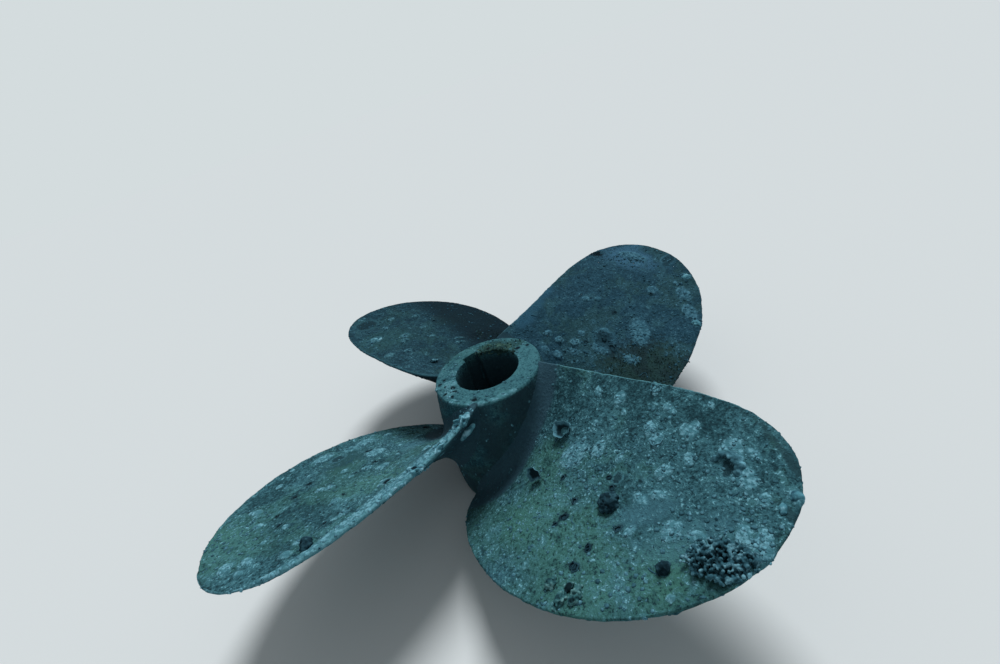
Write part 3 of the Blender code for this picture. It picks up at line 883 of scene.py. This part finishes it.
tones = {
    "boss": {
        "film": "#295460", "crust": "#41747F", "algae": "#376563", "lime": "#4C858F", "speck": "#598E9A",
        "pit": "#1B3B46", "silt": "#4B7C78", "strip": "#40707B", "turf": "#294949", "chalk": "#6BA0B0",
        "holeShade": "#13252E", "bright": "#4F8892", "shade": "#2A424C",
    },
    "blade_1": {**litBlade, "silt": "#4E8878", "turf": "#294850", "shade": "#365565"},
    # Blades 2 and 3 are darker all through than blades 1 and 4: partly their own tone, partly painted shade
    "blade_2": {
        "film": "#204353", "crust": "#2F5669", "algae": "#2E5150", "lime": "#3B6B7F", "speck": "#477689",
        "pit": "#1D3A46", "silt": "#548BAE", "strip": "#366681", "turf": "#233433", "chalk": "#588DA1",
        "holeShade": "#13252E", "bright": "#446F7F", "shade": "#233E4A",
    },
    "blade_3": {
        "film": "#1B3945", "crust": "#2A4E5D", "algae": "#274849", "lime": "#36636F", "speck": "#427282",
        "pit": "#152C36", "silt": "#325D5E", "strip": "#315B6C", "turf": "#1A2F36", "chalk": "#5A8D9E",
        "holeShade": "#13252E", "bright": "#446F7F", "shade": "#11212B",
    },
    "blade_4": {**litBlade, "silt": "#508A7F", "turf": "#2B5056", "shade": "#314F5D"},
}


# What grows on the crust. Each is dull all through, with a grain in real size that also gives its bump: shell
# and tube lime is chalky and pale, stony coral rough with pale knob tips and painted shade in its gaps, sponge
# dark and felted, turf a short brown-green fur, and rubble old lime with silt in its gaps. Each is (grain in
# metres, then its dark, plain and pale colour, and the colour of the painted shade in its nooks).

growthTones = {
    "limeShell": (0.005, "#2C535F", "#416F7E", "#6EA8BA", "#1A323B"),
    # Darker shell: the worm tubes' own tone, and on blades 2 and 3 painted shade over the strewn lime
    "dullAndShadedShell": (0.005, "#203F4C", "#2A5162", "#437285", "#14252F"),
    "stonyCoral": (0.0035, "#1B3741", "#335D6B", "#6FA3B3", "#132932"),
    "limeRind": (0.006, "#2A5263", "#4F8898", "#90C8DA", "#10252F"),
    "darkSponge": (0.003, "#142B35", "#203E4A", "#375E6B", "#0D1E26"),
    "algalTurf": (0.004, "#182B2C", "#2A4745", "#53786F", "#0E1C1F"),
    "siltedRubble": (0.006, "#1B3A42", "#38656B", "#74A6A9", "#10242A"),
}
growthRoughness = 0.9
growthBump = {"Strength": 0.6, "Distance": 0.002}


def growthFinish(name):
    size, dark, plain, pale, nookShadeTone = growthTones[name]
    material = bpy.data.materials.new(name)
    material.use_nodes = True
    shader = material.node_tree.nodes["Principled BSDF"]
    add = partial(addNode, material.node_tree)
    where = add("ShaderNodeTexCoord", out="Object")
    plugs = {"Vector": where, "Scale": 1 / size, "Detail": 4.0, "Roughness": 0.7}
    grain = add("ShaderNodeTexNoise", plugs)
    plugs = {"Vector": where, "Scale": 0.25 / size, "Detail": 2.0, "Roughness": 0.5}
    cloud = add("ShaderNodeTexNoise", plugs)
    shade = add("ShaderNodeAttribute", out="Fac", attribute_name="shade")
    nook = add("ShaderNodeAttribute", out="Fac", attribute_name="nook")
    amount = add("ShaderNodeMath", {0: grain, 1: 0.9, 2: shade}, operation="MULTIPLY_ADD")
    amount = add("ShaderNodeMath", {0: cloud, 1: 0.9, 2: amount}, operation="MULTIPLY_ADD")
    # Painted shade in the nooks
    rough = add("ShaderNodeMath", {0: grain, 1: 0.5, 2: nook}, operation="MULTIPLY_ADD")
    colour = linear(dark)
    fades = ((amount, 0.75, 1.25, plain), (amount, 1.25, 1.85, pale), (rough, 0.45, 0.95, nookShadeTone))
    for value, low, high, tone in fades:
        share = add("ShaderNodeMapRange", {"Value": value, "From Min": low, "From Max": high}, **eased)
        colour = add("ShaderNodeMix", {0: share, 6: colour, 7: linear(tone)}, out=2, data_type="RGBA")
    bump = add("ShaderNodeBump", {"Height": grain, **growthBump})
    material.node_tree.links.new(colour, shader.inputs["Base Color"])
    material.node_tree.links.new(bump, shader.inputs["Normal"])
    shader.inputs["Roughness"].default_value = growthRoughness
    shader.inputs["Specular IOR Level"].default_value = slimeShine
    return material


# Growth with a form of its own, sunk a little into the crust. Lumps are merged from many overlapping balls.

def ball(axes, centre, a, b, c, turn=0.0):
    spin = Matrix.Rotation(turn, 4, "Z")
    return Matrix.Translation(centre) @ axes.to_4x4() @ spin @ Matrix.Diagonal((a, b, c, 1))


def clump(name, balls, voxel, rough, seed, gapShade=1.0):
    shape = bmesh.new()
    bmesh.ops.create_icosphere(shape, subdivisions=2, radius=1)
    shape.verts.index_update()
    spots = np.array([v.co for v in shape.verts])
    sides = np.array([[v.index for v in face.verts] for face in shape.faces])
    shape.free()
    points = [spots @ np.array(place.to_3x3()).T + np.array(place.translation) for place in balls]
    faces = sides + len(spots) * np.arange(len(balls))[:, None, None]
    mesh = bpy.data.meshes.new(name)
    mesh.from_pydata(np.concatenate(points).tolist(), [], faces.reshape(-1, 3).tolist())
    piece = addPiece(name, mesh)
    merge = piece.modifiers.new("merge", "REMESH")
    merge.mode = "VOXEL"
    merge.voxel_size = voxel
    settle(piece)
    points, normals = pointsOf(piece.data), normalsOf(piece.data)
    worn = drift(points, 5 * voxel, seed) + 0.6 * drift(points, 2.4 * voxel, seed + 1)
    points += normals * (rough * worn)[:, None]
    piece.data.vertices.foreach_set("co", points.ravel())
    # Painted shade in the gaps where many balls crowd: the nooks go dark, and the shade darkens there too
    crowd = np.zeros(len(points))
    for place in balls:
        size = sum(place.to_scale()) / 3
        apart = np.linalg.norm(points - np.array(place.translation), axis=1) - size
        crowd += np.exp(-np.clip(apart, 0, None) / (1.6 * voxel))
    crowd /= np.median(crowd)
    store(piece.data, "nook", gapShade * smoothStep(crowd, 1.25, 2.4))
    cloudy = 0.5 + 0.5 * drift(points, 0.012, seed + 2)
    store(piece.data, "shade", cloudy - 0.25 * smoothStep(crowd, 0.9, 1.4))
    piece.data.shade_smooth()
    return piece


def ringFaces(rows, around):
    # Faces between closed rings of points, and a fan from each end ring to a point of its own. These points
    # come after the rings, the first ring's before the last ring's.
    index = np.arange(rows * around).reshape(rows, around)
    beside = np.roll(index, -1, 1)
    quads = np.stack([index[:-1], beside[:-1], beside[1:], index[1:]], -1).reshape(-1, 4)
    start = np.stack([beside[0], index[0], np.full(around, rows * around)], -1)
    end = np.stack([index[-1], beside[-1], np.full(around, rows * around + 1)], -1)
    return quads.tolist() + start.tolist() + end.tolist()


def wavy(turns, waves, rng):
    # How far a rim runs in and out round its middle: each wave has a height and a number of crests
    rim = 1.0
    for height, crests in waves:
        rim = rim + height * np.sin(crests * turns + rng.uniform(0, 6))
    return rim


def tube(points, outs, sizes, sides):
    # A closed tube along a path, as points and faces
    points, outs = np.asarray(points), np.asarray(outs)
    ahead = np.gradient(points, axis=0)
    ahead /= np.linalg.norm(ahead, axis=1)[:, None]
    side = np.cross(ahead, outs)
    side /= np.linalg.norm(side, axis=1)[:, None]
    out = np.cross(side, ahead)
    turns = np.arange(sides) * 2 * np.pi / sides
    rings = [points + sizes[:, None] * (side * math.cos(t) + out * math.sin(t)) for t in turns]
    grid = np.stack(rings, 1).reshape(-1, 3)
    return np.concatenate([grid, points[:1], points[-1:]]), ringFaces(len(points), sides)


def joined(name, parts):
    # One mesh from several lists of points and faces, each with a shade of its own
    points, faces, shades, start = [], [], [], 0
    for spots, polygons, shade in parts:
        points.append(spots)
        faces += [tuple(start + v for v in face) for face in polygons]
        shades.append(np.broadcast_to(shade, len(spots)))
        start += len(spots)
    mesh = meshOf(name, np.concatenate(points), faces)
    store(mesh, "shade", np.concatenate(shades))
    return mesh


# The branching stony coral at the far edge of blade 1: short knobs fanned out over a low mound

coral = {
    "at": (1.034, 0.150), "turn": 50, "length": 0.136, "width": 0.074, "mound": 0.024,
    "knobs": 310, "knob": 0.0032, "sizes": (0.75, 1.35), "rise": (0.005, 0.022), "forked": 0.6,
    "standing": ((0.0, 0.044), (0.010, 0.050), (-0.012, 0.040), (0.018, 0.042)), "standingBalls": 5,
    "voxel": 0.0017, "rough": 0.0011,
}


def coralClump():
    rng = np.random.default_rng(7)
    here, axes = onBlade(1, *coral["at"])
    # Its own axes: x across it, towards the blade's upper side, and y along it
    axes = axes @ Matrix.Rotation(-math.radians(coral["turn"]), 3, "Z")
    # The mound fills most of the clump, and the knobs stand on it
    balls = [ball(axes, here, coral["width"] * 0.40, coral["length"] * 0.43, coral["mound"] * 0.60)]
    for _ in range(coral["knobs"]):
        reach, way = math.sqrt(rng.random()), rng.uniform(0, 2 * math.pi)
        x, y = reach * math.cos(way), reach * math.sin(way)
        height = coral["mound"] * math.sqrt(max(0.05, 1 - 0.9 * reach**2))
        foot = here + axes @ Vector((x * coral["width"] / 2, y * coral["length"] / 2, height * 0.6))
        lean = axes @ Vector((0.9 * x, 0.9 * y, 0.75)).normalized()
        size = coral["knob"] * rng.uniform(*coral["sizes"])
        rise = rng.uniform(*coral["rise"])
        for step in (0.25, 0.6, 1.0):
            thick = size * (0.75 + 0.3 * step)
            balls.append(ball(axes, foot + lean * rise * step, thick, thick, size))
        if rng.random() < coral["forked"]:
            fork = (lean + axes @ Vector(rng.uniform(-0.9, 0.9, 3))).normalized()
            place, small = foot + lean * rise * 0.8 + fork * size * 1.6, size * 0.8
            balls.append(ball(axes, place, small, small, small))
    for y, x in coral["standing"]:
        # A taller knob, built up from its foot
        for step in range(coral["standingBalls"]):
            size = coral["knob"] * (1.7 - 0.10 * step)
            sway = 0.002 * math.sin(9 * x * step)
            place = here + axes @ Vector((-x + 0.004 * step, y + sway, 0.002 + 0.0065 * step))
            balls.append(ball(axes, place, size, size, size))
    return clump("stony_coral", balls, coral["voxel"], coral["rough"], 11)


# Lime rind along the trailing edge of blade 4: broken plates in layers, thickest and widest near the root

rind = {
    "from": 0.268, "to": 0.93, "step": 0.0080, "thick": (0.0210, 0.0046), "reach": (0.085, 0.022),
    "tip": 0.9, "voxel": 0.0029, "rough": 0.0030, "gapShade": 1.3,
    # radius, along, length, thickness and depth, and it stands off the back by that depth
    "plate": (0.287, 0.288, 0.040, 0.0052, 0.0140),
}


def rindPiece():
    rng = np.random.default_rng(19)
    balls = []
    count = int((rind["to"] - rind["from"]) / rind["step"])
    gusts = rng.random(count // 3 + 2)
    for i in range(count):
        share = i / count
        radius = rind["from"] + (rind["to"] - rind["from"]) * share
        patchy = 0.20 + 1.15 * np.interp(i / 3, np.arange(len(gusts)), gusts) ** 1.3
        thick = (rind["thick"][0] + (rind["thick"][1] - rind["thick"][0]) * share**0.5) * patchy
        reach = rind["reach"][0] + (rind["reach"][1] - rind["reach"][0]) * share**0.5
        edge = float(widthMiddle(radius) + halfWidth(radius))
        for _ in range(2 + int(rng.integers(0, 5 - int(2.5 * share)))):
            # Each plate is tipped a little, and the boldest ones stand at the blade's very edge
            inward = reach * rng.random() ** 1.3
            here, axes = onBlade(4, radius + rng.normal(0, 0.005), edge - 0.0015 - inward)
            tip = Matrix.Rotation(rng.uniform(-rind["tip"], rind["tip"]), 3, "X")
            tip = tip @ Matrix.Rotation(rng.uniform(-rind["tip"], rind["tip"]), 3, "Y")
            size = thick * rng.uniform(0.35, 1.4) * (1 - 0.45 * inward / reach)
            low = rng.uniform(-0.45, 0.55 - 0.3 * share) * thick
            place, turn = here + axes.col[2] * low, rng.uniform(0, 3)
            balls.append(ball(axes @ tip, place, size * 1.35, size * 0.75, size * 0.27, turn))
        if patchy > 0.8 and share < 0.4:
            here, axes = onBlade(4, radius, edge - 0.004)
            balls.append(ball(axes, here - axes.col[2] * 0.45 * thick, rind["step"], 0.006, thick * 0.28))
    # One flat plate stands off the back, just under the rind
    radius, along, long, thin, deep = rind["plate"]
    here, axes = onBlade(4, radius, along, deep, True)
    balls.append(ball(axes, here, long, thin, deep))
    return clump("lime_rind", balls, rind["voxel"], rind["rough"], 23, rind["gapShade"])


# Low brown-green crust over the far lip of the bore, some of it hanging into the bore

lipCrust = {
    "from": 96, "to": 182, "balls": 330, "size": 0.0062, "wide": 0.052, "hang": 0.026, "hung": 0.35,
    "voxel": 0.0026, "rough": 0.0016,
}


def lipPiece():
    rng = np.random.default_rng(31)
    balls = []
    bore, top = casting["boreAft"], casting["bossLength"]
    for _ in range(lipCrust["balls"]):
        share = rng.random()
        way = math.radians(lipCrust["from"] + (lipCrust["to"] - lipCrust["from"]) * share)
        thickHere = 0.35 + 0.65 * math.sin(math.pi * share) * (0.75 + 0.25 * math.sin(29 * share))
        size = lipCrust["size"] * rng.uniform(0.5, 1.2) * thickHere
        if rng.random() < lipCrust["hung"]:
            deep = lipCrust["hang"] * rng.random() ** 1.4 * thickHere
            radius, height = bore - 0.2 * size + deep * casting["boreTaper"] / 2, top - deep
        else:
            radius, height = bore + lipCrust["wide"] * thickHere * rng.random() ** 1.3, top + 0.15 * size
        place = Vector((radius * math.cos(way), radius * math.sin(way), height))
        flat, turn = size * rng.uniform(0.5, 0.9), rng.uniform(0, 3)
        balls.append(ball(Matrix.Identity(3), place, size, size, flat, turn))
    return clump("lip_crust", balls, lipCrust["voxel"], lipCrust["rough"], 37)


# Smaller lumps: (blade, radius, along, length, width, height, turn, balls), sizes in millimetres, and the turn
# in degrees from the helix line to the long side

lumps = {
    "siltedRubble": (
        (1, 808, -186, 46, 34, 17, 10, 26), (1, 842, -150, 40, 26, 14, 25, 18),
        (1, 875, -150, 60, 34, 18, 25, 32), (1, 865, -190, 61, 30, 19, 20, 32),
    ),
    "limeRind": (
        (1, 1081, 370, 30, 28, 12, 0, 50), (1, 1070, 330, 30, 16, 8, 40, 30),
        (2, 878, -197, 46, 30, 12, 0, 40), (2, 1015, 36, 50, 34, 10, 0, 50),
        (3, 790, 388, 66, 34, 10, 0, 50),
    ),
    "darkSponge": (
        (1, 718, 63, 64, 62, 32, 0, 260), (1, 953, 49, 36, 32, 20, 0, 110),
        (4, 843, 455, 55, 40, 24, 0, 140), (2, 538, 19, 30, 24, 8, 0, 40),
    ),
}
lumpBalls = (0.0028, 0.0062)
lumpKinds = {
    # finish, voxel, how dark the painted shade in the gaps is, seed and roughness
    "lime_lumps": ("limeRind", 0.0023, 0.15, 81, 0.0024),
    "edge_rubble": ("siltedRubble", 0.0022, 0.8, 85, 0.0024),
    "dark_sponges": ("darkSponge", 0.0022, 0.5, 83, 0.0042),
}


def lumpPiece(name):
    kind, voxel, gapShade, seed, rough = lumpKinds[name]
    rng = np.random.default_rng(seed)
    balls = []
    for number, *sizes, turn, count in lumps[kind]:
        radius, along, length, width, height = np.array(sizes) / 1000
        here, axes = onBlade(number, radius, along)
        a, b = math.cos(math.radians(turn)), math.sin(math.radians(turn))
        for _ in range(count):
            reach, way = rng.random() ** 0.5, rng.uniform(0, 2 * math.pi)
            x, y = reach * math.cos(way), reach * math.sin(way)
            size = rng.uniform(*lumpBalls)
            rise = (height - size) * math.sqrt(max(0, 1 - reach**2)) * rng.uniform(0.75, 1.05)
            u, v = x * (width / 2 - 0.6 * size), y * (length / 2 - 0.6 * size)
            place = here + axes @ Vector((u * a - v * b, u * b + v * a, rise))
            balls.append(ball(axes, place, size, size, size))
        balls.append(ball(axes, here, width * 0.36, length * 0.36, height * 0.45, math.radians(turn)))
    return clump(name, balls, voxel, rough, seed, gapShade)


# A ruffled pale ledge that arches over a hollow, which painted shade on the blade darkens, and the rippled lime
# plates below the near shell

ledge = {
    "at": (0.923, 0.346), "span": 0.070, "rise": 0.040, "height": 0.024, "lean": 0.018, "ruffle": 0.004,
    "balls": 40, "sizes": (0.0042, 0.0078), "voxel": 0.0021, "rough": 0.0011, "gapShade": 0.2,
}
ripples = {
    "at": (0.492, 0.090), "length": 0.105, "width": 0.075, "plates": 26, "rise": (0, 0.003),
    "across": (0.003, 0.0055), "long": (0.010, 0.024), "high": (0.0024, 0.0042), "turn": (-0.3, 0.1),
}


def ledgePiece():
    rng = np.random.default_rng(43)
    here, axes = onBlade(1, *ledge["at"])
    balls = []
    for i in range(ledge["balls"]):
        share = i / (ledge["balls"] - 1)
        turn = math.pi * (share * 1.1 - 0.05)
        ruffle = ledge["ruffle"] * math.sin(11 * share * math.pi)
        for level in (0.1, 0.45, 0.8, 1.0):
            # The wall leans in over the hollow as it rises, on the side away from the tip's lower edge
            lean = ledge["lean"] * level * math.sin(turn)
            x = -(ledge["span"] / 2 + ruffle) * math.cos(turn) * (1 - 0.15 * level)
            y = (ledge["rise"] + ruffle) * math.sin(turn) * 0.9 - lean - 0.004
            rise = ledge["height"] * level * (0.35 + 0.65 * math.sin(turn))
            size = rng.uniform(*ledge["sizes"]) * (1.1 - 0.35 * level)
            balls.append(ball(axes, here + axes @ Vector((x, y, rise)), size, size, size * 0.8))
    centre, axes = onBlade(1, *ripples["at"])
    for _ in range(ripples["plates"]):
        x, y = rng.uniform(-0.5, 0.5) * ripples["width"], rng.uniform(-0.36, 0.36) * ripples["length"]
        place = centre + axes @ Vector((x, y, rng.uniform(*ripples["rise"])))
        plate = [rng.uniform(*ripples[size]) for size in ("across", "long", "high", "turn")]
        balls.append(ball(axes, place, *plate))
    return clump("lime_ledge", balls, ledge["voxel"], ledge["rough"], 47, ledge["gapShade"])


# Oyster valves: (blade, radius, along, length, width, depth, lean, turn), sizes in millimetres and angles in
# degrees. The hollow side faces out, leant about its hinge.

valves = (
    (1, 387, 122, 70, 62, 26, 14, 35), (1, 420, -35, 52, 48, 20, -58, 147),
    (4, 285, 262, 76, 44, 10, 20, 40), (2, 430, 83, 40, 36, 10, 15, 60), (2, 392, 139, 36, 30, 9, 25, 120),
    (3, 425, 179, 44, 34, 11, 20, 30), (1, 719, 283, 40, 34, 8, 12, 80), (1, 655, 430, 36, 28, 7, 10, 20),
)
valveGrid = {
    "around": 40, "rings": 9, "thick": 0.0030, "waves": ((0.08, 3), (0.055, 7)), "ridges": (0.0008, 22),
    "ruffle": (0.0018, 6), "seat": 0.002,
}


def valvePiece():
    rng = np.random.default_rng(53)
    around, rings, thick = valveGrid["around"], valveGrid["rings"], valveGrid["thick"]
    (ridge, ridges), (ruffle, crests) = valveGrid["ridges"], valveGrid["ruffle"]
    turns = np.arange(around) * 2 * np.pi / around
    # Pale at the rim, and dark in the bowl of the inner side: painted shade
    ringShare = np.abs(np.arange(2 * rings) - rings + 0.5) / rings
    shade = np.concatenate([np.repeat(1.05 - 0.9 * ringShare**0.35, around), [0.2, 0.2]])
    shade = np.clip(shade, 0, 1)
    nook = 0.85 * smoothStep(np.arange(2 * rings) / rings, 0.85, 0.35)
    nook = np.concatenate([np.repeat(nook, around), [0.85, 0]])
    parts, nookShades = [], []
    for number, *sizes, lean, turn in valves:
        radius, along, length, width, depth = np.array(sizes) / 1000
        here, axes = onBlade(number, radius, along)
        flat = axes @ Matrix.Rotation(math.radians(turn), 3, "Z")
        leant = flat @ Matrix.Rotation(math.radians(lean), 3, "Y")
        # A D-shaped rim, wavy and growing out in ridges
        waves = wavy(turns, valveGrid["waves"], rng)
        x = np.clip(np.cos(turns), -0.78, 1) * length / 2 * waves
        y = np.sin(turns) * width / 2 * waves
        layers = []
        for side in (1, -1):
            for ring in range(rings):
                share = (ring + 1) / rings
                bowl = depth * share**2.2 + ridge * math.sin(share * ridges)
                bowl = bowl + ruffle * share**3 * np.sin(crests * turns + 1)
                half = side * thick / 2 * (1.15 - share * 0.6)
                layers.append(np.stack([x * share, y * share, bowl + half], -1))
        poles = [[[0, 0, thick / 2], [0, 0, -thick / 2]]]
        local = np.concatenate(layers[:rings] + layers[rings:][::-1] + poles)
        # The hinge side stays on the blade and the other lifts
        hinge = Vector((-length * 0.39, 0, 0))
        foot = here + flat @ hinge + axes.col[2] * (valveGrid["seat"] + thick / 2)
        local = (local - np.array(hinge)) @ np.array(leant).T + np.array(foot)
        parts.append((local, ringFaces(2 * rings, around), shade))
        nookShades.append(nook)
    mesh = joined("oyster_valves", parts)
    store(mesh, "nook", np.concatenate(nookShades))
    return addPiece("oyster_valves", mesh)


# Sea squirts: small cups round the holes in the crust, dark down the middle with painted shade

cup = {
    "around": 14, "rise": 0.0027, "waves": ((0.16, 2), (0.14, 5)),
    "widest": 0.045,  # a longer mark is a bare hollow
    # reach, level and how much painted shade each ring has, from the outermost ring inwards
    "profile": (
        (1.25, -0.4, 0), (1.06, 0.45, 0), (0.88, 1.0, 0), (0.70, 0.9, 0.4), (0.60, 0.2, 1), (0.50, -0.6, 1),
    ),
}


def cupPiece():
    rng = np.random.default_rng(61)
    turns = np.arange(cup["around"]) * 2 * np.pi / cup["around"]
    parts = []
    for number, marks in bladeMarks.items():
        for radius, along, length, width, _ in [mark for mark in marks["hole"] if mark[2] < cup["widest"]]:
            here, axes = onBlade(number, radius, along)
            waves = wavy(turns, cup["waves"], rng)
            rows = []
            for reach, level, _ in cup["profile"]:
                x, y = np.sin(turns) * width / 2 * reach * waves, np.cos(turns) * length / 2 * reach * waves
                rows.append(np.stack([x, y, np.full(len(turns), cup["rise"] * level) * waves**2], -1))
            poles = [[0, 0, -0.4 * cup["rise"]], [0, 0, -0.6 * cup["rise"]]]
            spots = np.concatenate([*rows, poles]) @ np.array(axes).T + np.array(here)
            parts.append((spots, ringFaces(len(rows), cup["around"]), rng.uniform(0.1, 0.6)))
    mesh = joined("squirt_cups", parts)
    nook = np.repeat([dark for _, _, dark in cup["profile"]], cup["around"])
    store(mesh, "nook", np.tile(np.concatenate([nook, [0, 1]]), len(parts)))
    return addPiece("squirt_cups", mesh)


# Worm tubes: thin lime tubes that wander over the blades, a few of them placed and the rest strewn

worms = {
    "size": 0.0015, "sides": 6, "step": 0.0034, "long": (7, 17), "tooShort": 4,
    "strewn": 9, "radius": (0.34, 1.03), "across": 0.85,
    "placed": ((3, 0.608, -0.045, 0), (3, 0.572, -0.030, 5), (1, 0.979, 0.330, 160)),
}


def wormPiece():
    rng = np.random.default_rng(71)
    longest = worms["long"][1]
    starts = [(n, False, r, a, math.radians(t), longest) for n, r, a, t in worms["placed"]]
    for number in (1, 2, 3, 4):
        for back in (False, True):
            for _ in range(worms["strewn"]):
                radius = rng.uniform(*worms["radius"])
                side = rng.uniform(-worms["across"], worms["across"])
                along = float(widthMiddle(radius)) + side * float(halfWidth(radius))
                way, count = rng.uniform(0, 6.28), int(rng.integers(*worms["long"]))
                starts.append((number, back, radius, along, way, count))
    parts = []
    for number, back, radius, along, way, count in starts:
        points, outs, bend = [], [], rng.normal(0, 0.15)
        for _ in range(count):
            place, axes = onBlade(number, radius, along, worms["size"] * 0.8, back)
            points.append(place)
            outs.append(axes.col[2])
            radius += worms["step"] * math.sin(way)
            along += worms["step"] * math.cos(way)
            bend = 0.8 * bend + rng.normal(0, 0.16)
            way += bend
            if abs(along - float(widthMiddle(radius))) > 0.95 * float(halfWidth(radius)):
                break
        if len(points) > worms["tooShort"]:
            sizes = worms["size"] * np.linspace(0.5, 1.15, len(points)) * rng.uniform(0.8, 1.3)
            parts.append((*tube(points, outs, sizes, worms["sides"]), rng.uniform(0.3, 0.9)))
    return addPiece("worm_tubes", joined("worm_tubes", parts))


# Skins first, then what grows on them

reliefTree = crustTree()
skins = {}
for node, tone in tones.items():
    finish = crustedBronze("crustedBronze" + node.title().replace("_", ""), tone)
    mesh = bossMesh() if node == "boss" else bladeMesh(int(node[-1]))
    skins[node] = grow(f"{node}_skin", mesh, reliefTree, {**crust, "Finish": finish})
for node, skin in skins.items():
    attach(skin, "root")
    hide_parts(node)
    print(node, "crusted,", len(skin.data.polygons), "faces")

finishes = {name: growthFinish(name) for name in growthTones}
growth = [
    (coralClump(), "stonyCoral", "blades"), (rindPiece(), "limeRind", "blades"),
    (lipPiece(), "algalTurf", "boss"),
    *[(lumpPiece(name), lumpKinds[name][0], "blades") for name in lumpKinds],
    (ledgePiece(), "limeShell", "blades"), (valvePiece(), "limeShell", "blades"),
    (cupPiece(), "darkSponge", "blades"), (wormPiece(), "dullAndShadedShell", "blades"),
]
print("lumps, shells, cups and tubes made")

# Growth of each kind over each skin. On blades 2 and 3 the shell finish is the darker one, painted shade, and
# tufts stand only there and on the boss.
strewnKinds = {"flake": ("limeShell", 1), "barnacle": ("limeShell", 2), "tuft": ("algalTurf", 3)}
for kind, (finish, seed) in strewnKinds.items():
    tree = strewnTree(kind)
    for order, (node, skin) in enumerate(skins.items()):
        shaded = node in ("blade_2", "blade_3")
        if kind == "tuft" and not shaded and node != "boss":
            continue
        name = "dullAndShadedShell" if finish == "limeShell" and shaded else finish
        values = {**strewing[kind], "Seed": seed + 10 * order, "Finish": finishes[name]}
        piece = grow(f"{kind}s_{node}", skin.data, tree, values)
        growth.append((piece, name, "boss" if node == "boss" else "blades"))
        print(piece.name, len(piece.data.polygons), "faces")

for piece, finish, slot in growth:
    if not piece.data.materials:
        piece.data.materials.append(finishes[finish])
    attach(piece, "root")
